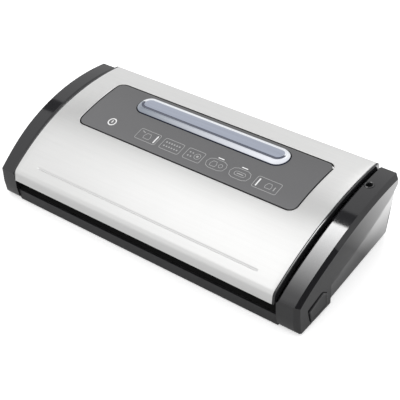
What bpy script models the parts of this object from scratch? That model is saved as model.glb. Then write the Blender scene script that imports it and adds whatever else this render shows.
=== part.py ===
"""Countertop vacuum sealer: a domed steel lid between two black end caps, on a shallow base.

World frame in metres: +X along the sealing bar, -Y the front, +Z up. The origin is on the floor under
the middle of the object. The lid turns about hinge_axis, the release buttons slide along X, the latch
levers turn about pins along Y, and the pump's shaft turns about X.
"""
import math

import bmesh
import bpy
from mathutils import Matrix, Vector

MM = 0.001

# ---- overall ----
WIDTH = 394 * MM             # over the side faces of the two end caps
DEPTH = 178 * MM             # lid's front edge to its rear edge
FIT = 0.3 * MM               # gap between pieces that touch
SLIDE_FIT = 0.4 * MM         # gap round a piece that slides or turns
FOOT_HEIGHT = 2.2 * MM       # rubber showing under the base
OVERSHOOT = 5 * MM           # how far a cutter reaches past what it cuts

# ---- lid profile ----
LID_EDGE_RISE = 7.1 * MM     # lower edge of the front band above the deck's seat
BAND_RISE = 10.9 * MM        # height of the front band
BAND_LEAN = 2.6 * MM         # how far the band leans back over that height
CROWN_Z = 77.1 * MM          # highest line of the lid
CROWN_SETBACK = 42.4 * MM    # from that line back to the rear edge
SKIRT_Z = 59.1 * MM          # lower edge of the lid's rear skirt and of the caps' overhang
SKIN = 0.8 * MM              # steel sheet
FRAME_WALL = 2.5 * MM        # moulded shell under the steel
TRIM_WALL = 2.3 * MM         # end walls of the lid
LINER_WALL = 2.5 * MM        # panel that closes the lid from below
LINER_STEP_Z = 54.0 * MM     # underside where the panel steps up behind the vacuum chamber
LINER_REAR_RISE = 8.5 * MM   # from there to the panel's rear end
LINER_REAR_GAP = 5.5 * MM    # panel's rear end in front of the rear wall
TRIM_DROP = 3.5 * MM         # how far the end walls reach below the panel's step
HINGE_INSET = 10 * MM        # hinge axis to the rear edge
HINGE_Z = 64 * MM
HINGE_PIN_RADIUS = 3.0 * MM
HINGE_PIN_LENGTH = 12 * MM

# ---- control panel and window ----
PANEL_SIDE = 27.9 * MM       # steel left beside the panel
PANEL_FRONT = 77 * MM        # from the lid's front edge to the panel's front edge
PANEL_LENGTH = 74.2 * MM
PANEL_CORNER = 9 * MM
PANEL_RECESS = 0.4 * MM      # panel's face below the steel
PANEL_WALL = 2.4 * MM
WINDOW_SIDE = 44.5 * MM      # panel left beside the window
WINDOW_LENGTH = 26 * MM
WINDOW_SETBACK = 19.2 * MM   # window's middle line to the panel's rear edge
WINDOW_PROUD = 1.2 * MM      # lens above the steel
WINDOW_WALL = 2.6 * MM
BOARD_MARGIN = 14 * MM       # control board inside the panel's ends
BOARD_FRONT = 4 * MM         # control board behind the panel's front edge
BOARD_CORNER = 3 * MM
BOARD_WALL = 1.6 * MM
BOARD_LENGTH = 36 * MM

# ---- end caps ----
CAP_WIDTH = 24 * MM
CAP_CROWN_Z = 75.1 * MM
CAP_CROWN_SETBACK = 43 * MM  # from the cap's highest line back to the lid's rear edge
CAP_FRONT_RISE = 4.8 * MM    # front end of the cap's curved top above the lid's front edge
CAP_FRONT_INSET = 3 * MM     # that point behind the lid's front edge
CAP_REAR_INSET = 3 * MM      # overhang's rear face in front of the lid's rear edge
CAP_TOE = 1.5 * MM           # how far the front face draws in at its foot
CAP_TOE_RISE = 5.5 * MM
CAP_BROW = 2 * MM            # how far the front face leans out under the top
CAP_BROW_DROP = 16 * MM      # that edge below the top's front end
CAP_REAR_DRAFT = 0.5 * MM
CAP_CHAMFER = 4 * MM
CAP_WALL = 2.5 * MM
CAP_TAPER = 8.5 * MM         # how far the side leans in at its lower rear corner
CREASE_FRONT_Z = 24 * MM
CREASE_REAR_Z = 58 * MM
POD_LENGTH = 55 * MM         # straight front part of the side, from the cap's front
POD_SLANT = 3 * MM           # how far that part's rear edge leans forward at its foot

# ---- base ----
BASE_WALL = 2.5 * MM
LIP_Z = 15.5 * MM            # top of the front lip
LIP_INSET = 3 * MM           # lip behind the lid's front edge
REAR_WALL_INSET = 15.5 * MM  # rear wall in front of the lid's rear edge
REAR_WALL_Z = 57 * MM
SEAT_Z = 24 * MM             # flat deck that carries the sealing bar and the gasket
SEAT_FRONT = 21 * MM         # start of that deck behind the lid's front edge
SEAT_LENGTH = 66 * MM
RISER_Z = 46 * MM            # top of the deck's riser behind the vacuum chamber
RISER_RUN = 8 * MM
DECK_REAR_Z = 56 * MM
FOOT_RADIUS = 9 * MM
FOOT_SIDE = 23 * MM          # feet's middles to the caps
FOOT_FRONT = 20 * MM         # front feet behind the lid's front edge
FOOT_REAR = 30 * MM          # rear feet in front of the lid's rear edge
FOOT_STUD_RADIUS = 2.5 * MM
FOOT_STUD = 4 * MM
FOOT_DRAFT = 1 * MM
STANDOFF_HEIGHT = 3 * MM     # under the power board
STANDOFF_RADIUS = 3 * MM
STANDOFF_INSET = 5 * MM

# ---- sealing and vacuum ----
BAR_SIDE = 23 * MM           # ends of the sealing bar to the caps
BAR_WIDTH = 7 * MM
BAR_HEIGHT = 3.2 * MM
BAR_FROM_SEAT = 6.5 * MM     # middle of the bar behind the seat's front
BAR_ROUND = 0.6 * MM
HEATER_SIDE = 2 * MM         # heating strip shorter than the bar, each end
HEATER_WIDTH = 3 * MM
HEATER_THICK = 0.5 * MM
TAPE_THICK = 0.3 * MM
GASKET_WIDTH = 3 * MM
GASKET_HEIGHT = 4 * MM
GASKET_CORNER = 5 * MM
GASKET_SIDE = 2 * MM         # gasket's inner edge outside the drip tray's flange
GASKET_REAR = 2 * MM         # gasket's outer edge in front of the seat's rear
GASKET_FRONT = 0.5 * MM      # gasket's inner edge in front of the drip tray's flange
STRIP_ROUND = 0.8 * MM       # edges of the pressure strip
GASKET_GAP = 0.4 * MM        # between the two gaskets while the lid only rests
TRAY_SIDE = 6.5 * MM         # drip tray shorter than the bar, each end
TRAY_LENGTH = 28 * MM
TRAY_DEPTH = 14 * MM
TRAY_WALL = 1.4 * MM
TRAY_FLANGE = 2.5 * MM
TRAY_FROM_SEAT = 22.5 * MM   # front of the drip tray behind the seat's front
NOZZLE_RADIUS = 3 * MM
NOZZLE_BORE = 1.6 * MM
NOZZLE_SIDE = 25 * MM        # suction nozzle inside the bar's right end
NOZZLE_FROM_TRAY = 6.5 * MM
NOZZLE_PROUD = 3 * MM
NOZZLE_FOOT = 8 * MM         # its lower end under the seat
CUTOFF_RADIUS = 2 * MM
CUTOFF_LENGTH = 12 * MM
CUTOFF_DROP = 3 * MM         # thermal cut-off's middle line under the deck

# ---- release buttons and latches ----
BUTTON_FRONT = 18.5 * MM     # button's front edge behind the lid's front edge
BUTTON_REAR = 47 * MM
BUTTON_LOW_Z = 5.6 * MM
BUTTON_FRONT_Z = 20.5 * MM   # top of the button at its front
BUTTON_REAR_Z = 21 * MM      # top of the button at its rear
BUTTON_PEAK_Z = 26.4 * MM
BUTTON_PEAK_FROM_REAR = 6 * MM
BUTTON_SLANT = 1.5 * MM      # how far the front edge leans back at its foot
BUTTON_PROUD = 1.5 * MM
BUTTON_PLATE = 2 * MM        # flange's thickness
BUTTON_FLANGE = 1.5 * MM
BUTTON_STEM_WIDTH = 6 * MM
BUTTON_STEM_HEIGHT = 2.5 * MM
LATCH_SIDE = 8 * MM          # latch pin to the cap
LATCH_BELOW_SEAT = 7 * MM    # latch pin under the deck's top face
LATCH_THICK = 4 * MM
LATCH_WIDTH = 8 * MM
LATCH_ARM = 10 * MM          # below the pin
LATCH_HEAD = 4 * MM          # above the pin
LATCH_NOSE = 2.2 * MM
LATCH_NOSE_HEIGHT = 2 * MM
LATCH_PIN_RADIUS = 1.2 * MM
LATCH_PIN_REACH = 3 * MM     # pin beyond the latch, each end
LATCH_FROM_SEAT = 11 * MM    # latch's middle behind the seat's front
LATCH_SLOT_IN = 10 * MM      # slot in the deck, inwards from the latch pin
LATCH_SLOT_OUT = 3 * MM      # and outwards
LATCH_SLOT_HALF = 6 * MM
STEM_BELOW_PIN = 7.25 * MM   # button stem's middle line under the latch pin
HOOK_GAP = 1.6 * MM          # hook above the latch nose while the lid only rests
HOOK_THICK = 2.5 * MM
HOOK_NOSE = 2 * MM
HOOK_NOSE_HEIGHT = 2.2 * MM
HOOK_CLEAR = 0.8 * MM        # less overlap of hook and latch nose
SPRING_RADIUS = 4.4 * MM
SPRING_WIRE = 0.35 * MM
SPRING_TURNS = 5

# ---- pump, valve, switch and electrics ----
MOTOR_RADIUS = 14 * MM
MOTOR_LENGTH = 44 * MM
MOTOR_FROM_NOZZLE = 95 * MM  # inner end of the motor
PUMP_Z = 24 * MM
PUMP_FROM_REAR = 49 * MM     # pump axis in front of the lid's rear edge
HEAD_GAP = 1 * MM            # between motor and pump head
CRANK_START = 3 * MM         # crank disc inside the pump head
CRANK_LENGTH = 4 * MM
CAVITY_LENGTH = 10 * MM
BRACKET_INSET = 2 * MM
SHAFT_RADIUS = 1.5 * MM
HEAD_LENGTH = 24 * MM
HEAD_SIDE = 28 * MM
COVER_LENGTH = 10 * MM
DIAPHRAGM = 1.5 * MM
CRANK_RADIUS = 5 * MM
CRANK_THROW = 2 * MM
HOSE_RADIUS = 2.2 * MM
PORT_RADIUS = 5 * MM
PORT_BORE = 3.2 * MM
PORT_FROM_REAR = 35 * MM
PORT_PROUD = 0.6 * MM
PORT_LENGTH = 11 * MM
HOSE_HOLE_FROM_PORT = 8 * MM # hole through the cap's inner wall, in front of the port
HOSE_HOLE_Z = 38 * MM
HOSE_CLEAR = 1.5 * MM
HOSE_PORT_OFFSET = 7 * MM    # hose ends beside the pump's middle line
VALVE_SIDE = 18 * MM
VALVE_HEIGHT = 20 * MM
VALVE_FROM_BOARD = 25 * MM
VALVE_FLOOR = 6 * MM         # solid foot of the valve
PLUNGER_RADIUS = 3 * MM
PLUNGER_LOW = 10 * MM
PLUNGER_LENGTH = 16 * MM
POWER_BOARD_LENGTH = 68 * MM
POWER_BOARD_FRONT = 12 * MM  # board's front edge behind the seat
POWER_BOARD_REAR = 31 * MM   # board's rear edge in front of the lid's rear edge
CORE_INSET = (15 * MM, 8 * MM)
CORE_SIZE = (32 * MM, 28 * MM, 24 * MM)
SWITCH_FROM_LATCH = 7 * MM
SWITCH_TIP_FROM_SEAT = 26 * MM
SWITCH_BELOW_SEAT = 4.2 * MM # lever's top under the deck's top face
SWITCH_HALF = 3 * MM
SWITCH_HEIGHT = 10 * MM
SWITCH_GAP = 2 * MM          # lever's top above the switch body
LEVER_LENGTH = 16 * MM
LEVER_THICK = 0.6 * MM
LEVER_HALF = 2 * MM
LEVER_TIP = 3 * MM           # lever beyond the nib
NIB_RADIUS = 1.8 * MM
NIB_HOLE_RADIUS = 4.2 * MM
PIN_PITCH = 8.6 * MM
PIN_RADIUS = 1.2 * MM
PIN_LENGTH = 8 * MM
INLET_PROUD = 1 * MM
INLET_SIDE = 53 * MM         # power inlet's middle to the left cap
INLET_Z = 20 * MM
INLET_WIDTH = 24 * MM
INLET_HEIGHT = 16 * MM
INLET_DEPTH = 13 * MM
INLET_WALL = 3.5 * MM
INLET_RECESS = 10 * MM
SCREW_RADIUS = 1.4 * MM
SCREW_HEAD_RADIUS = 3 * MM
SCREW_HEAD = 2 * MM
SCREW_LENGTH = 13 * MM
BOSS_RADIUS = 5 * MM
BOSS_HEIGHT = 3.7 * MM
POST_RADIUS = 4 * MM
SCREW_FROM_NOZZLE = 35 * MM
SCREW_FRONT = 4.5 * MM       # front screws behind the seat's front
SCREW_REAR = 29 * MM         # rear screws in front of the lid's rear edge

# ---- worked out from the sizes above ----
HALF = WIDTH / 2
FRONT = -DEPTH / 2
REAR = DEPTH / 2
CAP_INNER = HALF - CAP_WIDTH
LID_HALF = CAP_INNER - SLIDE_FIT
SKIN_HALF = LID_HALF - TRIM_WALL - FIT
BASE_HALF = CAP_INNER - FIT
BASE_Z = FOOT_HEIGHT + FIT
FLOOR_Z = BASE_Z + BASE_WALL
LID_EDGE_Z = SEAT_Z + LID_EDGE_RISE
CAP_FRONT_Z = LID_EDGE_Z + CAP_FRONT_RISE
BEND_Y = FRONT + BAND_LEAN
BEND_Z = LID_EDGE_Z + BAND_RISE
CROWN_Y = REAR - CROWN_SETBACK
HINGE_Y = REAR - HINGE_INSET
REAR_WALL = REAR - REAR_WALL_INSET
SEAT_Y = FRONT + SEAT_FRONT
SEAT_REAR = SEAT_Y + SEAT_LENGTH
RISER_REAR = SEAT_REAR + RISER_RUN
LIP_Y = FRONT + LIP_INSET
BAR_Y = SEAT_Y + BAR_FROM_SEAT
LATCH_Y = SEAT_Y + LATCH_FROM_SEAT
PUMP_Y = REAR - PUMP_FROM_REAR
PORT_Y = REAR - PORT_FROM_REAR
PANEL_Y = FRONT + PANEL_FRONT
PANEL_REAR = PANEL_Y + PANEL_LENGTH
WINDOW_Y = PANEL_REAR - WINDOW_SETBACK
TRAY_Y = SEAT_Y + TRAY_FROM_SEAT
TRAY_REAR = TRAY_Y + TRAY_LENGTH
SEAT_UNDER = SEAT_Z - BASE_WALL
LINER_Z = SEAT_Z + 2 * (FIT + GASKET_HEIGHT) + GASKET_GAP
PANEL_HALF = SKIN_HALF - PANEL_SIDE
WINDOW_HALF = PANEL_HALF - WINDOW_SIDE
BAR_HALF = CAP_INNER - BAR_SIDE
TRAY_HALF = BAR_HALF - TRAY_SIDE
FOOT_X = CAP_INNER - FOOT_SIDE
NOZZLE_X = BAR_HALF - NOZZLE_SIDE
MOTOR_X = NOZZLE_X - MOTOR_FROM_NOZZLE
PORT_X = (CAP_INNER + HALF - CAP_TAPER) / 2
INLET_X = INLET_SIDE - CAP_INNER
LATCH_X = CAP_INNER - LATCH_SIDE
LATCH_Z = SEAT_Z - LATCH_BELOW_SEAT
STEM_Z = LATCH_Z - STEM_BELOW_PIN
LATCH_FACE = LATCH_X + LATCH_THICK / 2
LINER_STEP_Y = SEAT_REAR - 0.5 * MM
LINER_REAR = REAR_WALL - LINER_REAR_GAP
HOSE_HOLE_Y = PORT_Y - HOSE_HOLE_FROM_PORT
NOZZLE_Y = TRAY_REAR + NOZZLE_FROM_TRAY
TAPE_TOP = SEAT_Z + BAR_HEIGHT + HEATER_THICK + TAPE_THICK + 3 * FIT
SWITCH_X = LATCH_X - SWITCH_FROM_LATCH
SWITCH_TIP_Y = SEAT_Y + SWITCH_TIP_FROM_SEAT
SWITCH_TOP = SEAT_Z - SWITCH_BELOW_SEAT
BOARD_LOW = (-LATCH_X, SEAT_REAR + POWER_BOARD_FRONT)
BOARD_HIGH = (BOARD_LOW[0] + POWER_BOARD_LENGTH, REAR - POWER_BOARD_REAR)
SCREW_X = NOZZLE_X - SCREW_FROM_NOZZLE
SCREWS = [(x, y) for x in (-SCREW_X, SCREW_X) for y in (SEAT_Y + SCREW_FRONT, REAR - SCREW_REAR)]
FEET = [(name, x, y)
        for name, x, y in (("front_left", -FOOT_X, FRONT + FOOT_FRONT),
                           ("front_right", FOOT_X, FRONT + FOOT_FRONT),
                           ("rear_left", -FOOT_X, REAR - FOOT_REAR),
                           ("rear_right", FOOT_X, REAR - FOOT_REAR))]
SIDES = (("left", -1), ("right", 1))
ARC_STEPS = 20


def arc_radius(rise, run):
    """Radius of an arc that is level at one end and drops by rise over run."""
    return (rise ** 2 + run ** 2) / (2 * rise)


LID_RADIUS = arc_radius(CROWN_Z - BEND_Z, CROWN_Y - BEND_Y)
CAP_CROWN_Y = REAR - CAP_CROWN_SETBACK
CAP_RADIUS = arc_radius(CAP_CROWN_Z - CAP_FRONT_Z, CAP_CROWN_Y - FRONT - CAP_FRONT_INSET)


def lid_height(y, depth=0.0):
    """Height at y of the surface that lies depth under the lid's outer face."""
    radius = LID_RADIUS - depth
    return CROWN_Z - LID_RADIUS + math.sqrt(radius ** 2 - (y - CROWN_Y) ** 2)


def cap_height(y, depth=0.0):
    """Height at y of the surface that lies depth under the end cap's top."""
    radius = CAP_RADIUS - depth
    return CAP_CROWN_Z - CAP_RADIUS + math.sqrt(radius ** 2 - (y - CAP_CROWN_Y) ** 2)


def deck_height(y):
    """Height of the deck's top face behind its riser."""
    run = REAR_WALL - BASE_WALL - FIT - RISER_REAR
    return RISER_Z + (DECK_REAR_Z - RISER_Z) * (y - RISER_REAR) / run


def span(start, end, steps):
    """Evenly spaced values from start to end, both included."""
    return [start + (end - start) * i / steps for i in range(steps + 1)]


# ---- collections and materials ----
def new_collection(name):
    group = bpy.data.collections.new(name)
    bpy.context.scene.collection.children.link(group)
    return group


def make_material(name, colour, roughness, metallic=0.0, alpha=1.0):
    material = bpy.data.materials.new(name)
    material.use_nodes = True
    shader = material.node_tree.nodes["Principled BSDF"]
    shader.inputs["Base Color"].default_value = (*colour, 1.0)
    shader.inputs["Roughness"].default_value = roughness
    shader.inputs["Metallic"].default_value = metallic
    shader.inputs["Alpha"].default_value = alpha
    material.diffuse_color = (*colour, alpha)
    return material


FINISHES = {
    "steel": ((0.75, 0.75, 0.74), 0.28, 1.0),
    "gloss_black": ((0.015, 0.015, 0.016), 0.12, 0.0),
    "matt_black": ((0.03, 0.03, 0.032), 0.45, 0.0),
    "panel_grey": ((0.16, 0.16, 0.16), 0.3, 0.0),
    "window": ((0.45, 0.55, 0.72), 0.05, 0.0),
    "rubber": ((0.02, 0.02, 0.02), 0.8, 0.0),
    "foam": ((0.05, 0.05, 0.05), 0.9, 0.0),
    "silicone": ((0.12, 0.12, 0.13), 0.6, 0.0),
    "white_plastic": ((0.75, 0.75, 0.73), 0.4, 0.0),
    "heater": ((0.6, 0.58, 0.52), 0.35, 1.0),
    "ptfe": ((0.42, 0.3, 0.2), 0.5, 0.0),
    "zinc": ((0.6, 0.61, 0.63), 0.4, 1.0),
    "board": ((0.02, 0.2, 0.08), 0.5, 0.0),
    "clear_hose": ((0.75, 0.78, 0.78), 0.3, 0.0),
    "brass": ((0.7, 0.52, 0.25), 0.3, 1.0),
    "lamination": ((0.2, 0.17, 0.15), 0.6, 0.3),
}


# ---- shapes ----
def finish(obj, finish_name, smooth=False):
    """Put a piece in the parts collection with a material of its own."""
    colour, roughness, metallic = FINISHES[finish_name]
    obj.data.materials.append(make_material(obj.name + "_material", colour, roughness, metallic))
    parts.objects.link(obj)
    if smooth:
        obj.data.shade_smooth()
        obj.data.set_sharp_from_angle(angle=math.radians(35))
    return obj


def tool(obj):
    """Put a cutter or a joining shape in the cutters collection."""
    cutters.objects.link(obj)
    obj.hide_render = True
    obj.display_type = "WIRE"
    return obj


def mesh_object(name, bm):
    mesh = bpy.data.meshes.new(name)
    bmesh.ops.recalc_face_normals(bm, faces=bm.faces)
    bm.to_mesh(mesh)
    bm.free()
    return bpy.data.objects.new(name, mesh)


def box(name, low, high):
    """A box between two corners, its origin in the middle."""
    bm = bmesh.new()
    bmesh.ops.create_cube(bm, size=1.0)
    size = Vector(high) - Vector(low)
    bmesh.ops.scale(bm, vec=size, verts=bm.verts)
    obj = mesh_object(name, bm)
    obj.location = (Vector(low) + Vector(high)) / 2
    return obj


def cylinder(name, start, end, radius, sides=20):
    """A cylinder from start to end, its origin in the middle."""
    start, end = Vector(start), Vector(end)
    bm = bmesh.new()
    bmesh.ops.create_cone(bm, cap_ends=True, segments=sides, radius1=radius, radius2=radius,
                          depth=(end - start).length)
    obj = mesh_object(name, bm)
    obj.location = (start + end) / 2
    obj.rotation_mode = "QUATERNION"
    obj.rotation_quaternion = Vector((0, 0, 1)).rotation_difference(end - start)
    return obj


PLANES = {
    "X": Matrix(((0, 0, 1, 0), (1, 0, 0, 0), (0, 1, 0, 0), (0, 0, 0, 1))),   # outline is (y, z)
    "Y": Matrix(((1, 0, 0, 0), (0, 0, -1, 0), (0, 1, 0, 0), (0, 0, 0, 1))),  # outline is (x, z)
    "Z": Matrix.Identity(4),                                                # outline is (x, y)
}


def prism(name, rings, low, high, axis):
    """Flat outlines, the first outside and any others holes, drawn out along an axis."""
    curve = bpy.data.curves.new(name, "CURVE")
    curve.dimensions = "2D"
    curve.fill_mode = "BOTH"
    curve.extrude = (high - low) / 2
    for ring in rings:
        spline = curve.splines.new("POLY")
        spline.points.add(len(ring) - 1)
        for point, (u, v) in zip(spline.points, ring):
            point.co = (u, v, 0, 1)
        spline.use_cyclic_u = True
    middle = (low + high) / 2
    along = -middle if axis == "Y" else middle
    place = PLANES[axis] @ Matrix.Translation((0, 0, along))
    return curve_to_mesh(curve, place)


def curve_to_mesh(curve, place):
    """Replace a curve by a welded mesh object at the same place."""
    source = bpy.data.objects.new(curve.name, curve)
    bpy.context.scene.collection.objects.link(source)
    graph = bpy.context.evaluated_depsgraph_get()
    mesh = bpy.data.meshes.new_from_object(source.evaluated_get(graph))
    bpy.data.objects.remove(source)
    bm = bmesh.new()
    bm.from_mesh(mesh)
    bmesh.ops.remove_doubles(bm, verts=bm.verts, dist=0.00001)
    bmesh.ops.dissolve_limit(bm, angle_limit=math.radians(0.1), verts=bm.verts, edges=bm.edges)
    name = curve.name
    bpy.data.curves.remove(curve)
    bpy.data.meshes.remove(mesh)
    obj = mesh_object(name, bm)
    obj.matrix_world = place
    return obj


def turned(name, profile, place, axis="Z", steps=24):
    """A profile of (radius, height), top to bottom down its outer side, turned about an axis."""
    mesh = bpy.data.meshes.new(name)
    bm = bmesh.new()
    verts = [bm.verts.new((radius, 0, height)) for radius, height in profile]
    for first, second in zip(verts, verts[1:]):
        bm.edges.new((first, second))
    bm.to_mesh(mesh)
    bm.free()
    obj = bpy.data.objects.new(name, mesh)
    obj.location = place
    if axis == "X":
        obj.rotation_euler = (0, math.radians(90), 0)
    screw = obj.modifiers.new("turn", "SCREW")
    screw.steps = steps
    screw.render_steps = steps
    screw.use_merge_vertices = True
    screw.merge_threshold = 0.00001
    return obj


def tube(name, points, radius, resolution=1, smooth_steps=0):
    """A solid round rod along points, or along a smooth curve through them."""
    if smooth_steps:
        points = smooth_path(points, smooth_steps)
    curve = bpy.data.curves.new(name, "CURVE")
    curve.dimensions = "3D"
    curve.bevel_depth = radius
    curve.bevel_resolution = resolution
    curve.use_fill_caps = True
    spline = curve.splines.new("POLY")
    spline.points.add(len(points) - 1)
    for point, place in zip(spline.points, points):
        point.co = (*place, 1)
    return bpy.data.objects.new(name, curve)


def smooth_path(points, steps):
    """Catmull-Rom points through a list of places."""
    places = [Vector(p) for p in points]
    padded = [2 * places[0] - places[1], *places, 2 * places[-1] - places[-2]]
    path = []
    for before, start, end, after in zip(padded, padded[1:], padded[2:], padded[3:]):
        for i in range(steps):
            t = i / steps
            path.append(0.5 * (2 * start + (end - before) * t
                               + (2 * before - 5 * start + 4 * end - after) * t ** 2
                               + (3 * start - before - 3 * end + after) * t ** 3))
    path.append(places[-1])
    return path


def rounded_rectangle(x_low, x_high, y_low, y_high, radius, steps=6):
    """Outline of a rectangle with round corners, anticlockwise."""
    ring = []
    corners = ((x_high, y_high, 0), (x_low, y_high, 90), (x_low, y_low, 180), (x_high, y_low, 270))
    for x, y, start in corners:
        centre_x = x - radius if x == x_high else x + radius
        centre_y = y - radius if y == y_high else y + radius
        for i in range(steps + 1):
            angle = math.radians(start + 90 * i / steps)
            ring.append((centre_x + radius * math.cos(angle), centre_y + radius * math.sin(angle)))
    return ring


def boolean(obj, other, operation):
    modifier = obj.modifiers.new(operation.lower(), "BOOLEAN")
    modifier.operation = operation
    modifier.solver = "EXACT"
    modifier.object = other
    return obj


def cut(obj, *others):
    for other in others:
        boolean(obj, other, "DIFFERENCE")
    return obj


def join(obj, *others):
    for other in others:
        boolean(obj, other, "UNION")
    return obj


def round_edges(obj, width, segments=2):
    bevel = obj.modifiers.new("round", "BEVEL")
    bevel.width = width
    bevel.segments = segments
    bevel.limit_method = "ANGLE"
    bevel.angle_limit = math.radians(40)
    return obj


def hang_on(empty, *pieces):
    """Parent pieces to an empty without moving them."""
    for piece in pieces:
        piece.parent = empty
        piece.matrix_parent_inverse = Matrix.Translation(empty.location).inverted()


def joint_empty(name, place):
    empty = bpy.data.objects.new(name, None)
    empty.location = place
    empty.empty_display_size = 10 * MM
    parts.objects.link(empty)
    return empty


# ---- lid ----
def lid_outline(depth):
    """Points of the lid's side view, front edge to rear skirt, at a depth under the outer face."""
    start, end = BEND_Y + depth, REAR - depth
    arc = [(y, lid_height(y, depth)) for y in span(start, end, ARC_STEPS)]
    return [(FRONT + depth, LID_EDGE_Z), *arc, (end, SKIRT_Z)]


def lid_layer(name, outer, inner, half):
    """One bent sheet of the lid between two depths, from side to side."""
    ring = lid_outline(outer) + lid_outline(inner)[::-1]
    return prism(name, [ring], -half, half, "X")


def lid_pad(name, outer, inner, ring):
    """A piece cut from a curved layer of the lid by an outline seen from above."""
    layer_ring = [(y, lid_height(y, outer)) for y in span(BEND_Y + inner, REAR - inner, ARC_STEPS)]
    layer_ring += [(y, lid_height(y, inner)) for y in span(REAR - inner, BEND_Y + inner, ARC_STEPS)]
    pad = prism(name, [layer_ring], -SKIN_HALF, SKIN_HALF, "X")
    keep = tool(prism(name + "_outline", [ring], LID_EDGE_Z, CROWN_Z + OVERSHOOT, "Z"))
    return boolean(pad, keep, "INTERSECT")


def panel_ring(grow):
    half = PANEL_HALF + grow
    return rounded_rectangle(-half, half, PANEL_Y - grow, PANEL_REAR + grow, PANEL_CORNER + grow)


def window_ring(grow):
    half, radius = WINDOW_HALF + grow, WINDOW_LENGTH / 2 + grow
    return rounded_rectangle(-half, half, WINDOW_Y - radius, WINDOW_Y + radius, radius, steps=8)


def liner_points(lift):
    """Side view of the lid's lower panel, raised by lift."""
    front = BEND_Y + SKIN + FRAME_WALL + 2 * FIT
    return [(front, LINER_Z + lift), (LINER_STEP_Y - lift, LINER_Z + lift),
            (LINER_STEP_Y + RISER_RUN - lift, LINER_STEP_Z + lift),
            (LINER_REAR, LINER_STEP_Z + LINER_REAR_RISE + lift)]


def build_lid():
    skin = lid_layer("lid_skin", 0, SKIN, SKIN_HALF)
    opening = tool(prism("panel_cut", [panel_ring(FIT)], LID_EDGE_Z, CROWN_Z + OVERSHOOT, "Z"))
    cut(skin, opening)
    finish(skin, "steel", smooth=True)

    frame = lid_layer("lid_frame", SKIN + FIT, SKIN + FIT + FRAME_WALL, SKIN_HALF)
    cut(frame, opening)
    finish(frame, "matt_black", smooth=True)

    panel = lid_pad("control_panel", PANEL_RECESS, PANEL_RECESS + PANEL_WALL, panel_ring(0))
    window_cut = tool(prism("window_cut", [window_ring(FIT)], LID_EDGE_Z, CROWN_Z + OVERSHOOT, "Z"))
    cut(panel, window_cut)
    finish(panel, "panel_grey", smooth=True)

    lens = lid_pad("window_lens", -WINDOW_PROUD, WINDOW_WALL - WINDOW_PROUD, window_ring(0))
    finish(lens, "window", smooth=True)

    board_depth = PANEL_RECESS + PANEL_WALL + FIT
    board_half = PANEL_HALF - BOARD_MARGIN
    board_ring = rounded_rectangle(-board_half, board_half, PANEL_Y + BOARD_FRONT,
                                   PANEL_Y + BOARD_LENGTH, BOARD_CORNER, steps=2)
    board = lid_pad("touch_board", board_depth, board_depth + BOARD_WALL, board_ring)
    finish(board, "board")

    ring = liner_points(0) + liner_points(LINER_WALL)[::-1]
    liner = prism("lid_liner", [ring], -SKIN_HALF, SKIN_HALF, "X")
    nib = tool(cylinder("switch_nib", (SWITCH_X, SWITCH_TIP_Y, SWITCH_TOP + 2 * FIT),
                        (SWITCH_X, SWITCH_TIP_Y, LINER_Z + LINER_WALL / 2), NIB_RADIUS, 16))
    join(liner, nib)
    finish(liner, "matt_black")
    pieces = [skin, frame, panel, lens, board, liner]

    for side, sign in SIDES:
        low, high = sorted((sign * (SKIN_HALF + FIT), sign * LID_HALF))
        ring = lid_outline(0) + [(LINER_REAR, SKIRT_Z),
                                 (LINER_STEP_Y + RISER_RUN, LINER_STEP_Z - TRIM_DROP),
                                 (LINER_STEP_Y, LID_EDGE_Z)]
        trim = prism("lid_end_trim_" + side, [ring], low, high, "X")
        cut(trim, hinge_bore(side, sign))
        pieces.append(finish(trim, "gloss_black"))

        nose_z = LATCH_Z + LATCH_HEAD + HOOK_GAP
        tip = LATCH_X - LATCH_THICK / 2 - LATCH_NOSE + HOOK_NOSE - HOOK_CLEAR
        ring = [(tip - HOOK_NOSE - HOOK_THICK, nose_z), (tip, nose_z),
                (tip - HOOK_NOSE, nose_z + HOOK_NOSE_HEIGHT), (tip - HOOK_NOSE, LINER_Z - FIT),
                (tip - HOOK_NOSE - HOOK_THICK, LINER_Z - FIT)]
        ring = [(sign * x, z) for x, z in ring]
        half = BUTTON_STEM_WIDTH / 2
        hook = prism("lid_hook_" + side, [ring], LATCH_Y - half, LATCH_Y + half, "Y")
        pieces.append(finish(hook, "zinc"))

    gasket = gasket_ring("upper_gasket", LINER_Z - FIT - GASKET_HEIGHT, LINER_Z - FIT)
    pressure = box("pressure_strip", (-BAR_HALF, BAR_Y - BAR_WIDTH / 2, TAPE_TOP + 2 * FIT),
                   (BAR_HALF, BAR_Y + BAR_WIDTH / 2, LINER_Z - FIT))
    round_edges(pressure, STRIP_ROUND)
    pieces += [finish(gasket, "foam"), finish(pressure, "silicone")]
    hang_on(joint_empty("hinge_axis", (0, HINGE_Y, HINGE_Z)), *pieces)


def gasket_ring(name, low, high):
    """A foam ring round the drip tray and the suction nozzle."""
    half = TRAY_HALF + TRAY_FLANGE + GASKET_SIDE
    front = TRAY_Y - TRAY_FLANGE - GASKET_FRONT
    rear = SEAT_REAR - GASKET_REAR - GASKET_WIDTH
    wide = GASKET_WIDTH
    outer = rounded_rectangle(-half - wide, half + wide, front - wide, rear + wide, GASKET_CORNER, 4)
    inner = rounded_rectangle(-half, half, front, rear, GASKET_CORNER - wide, 4)
    return prism(name, [outer, inner], low, high, "Z")


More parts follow.
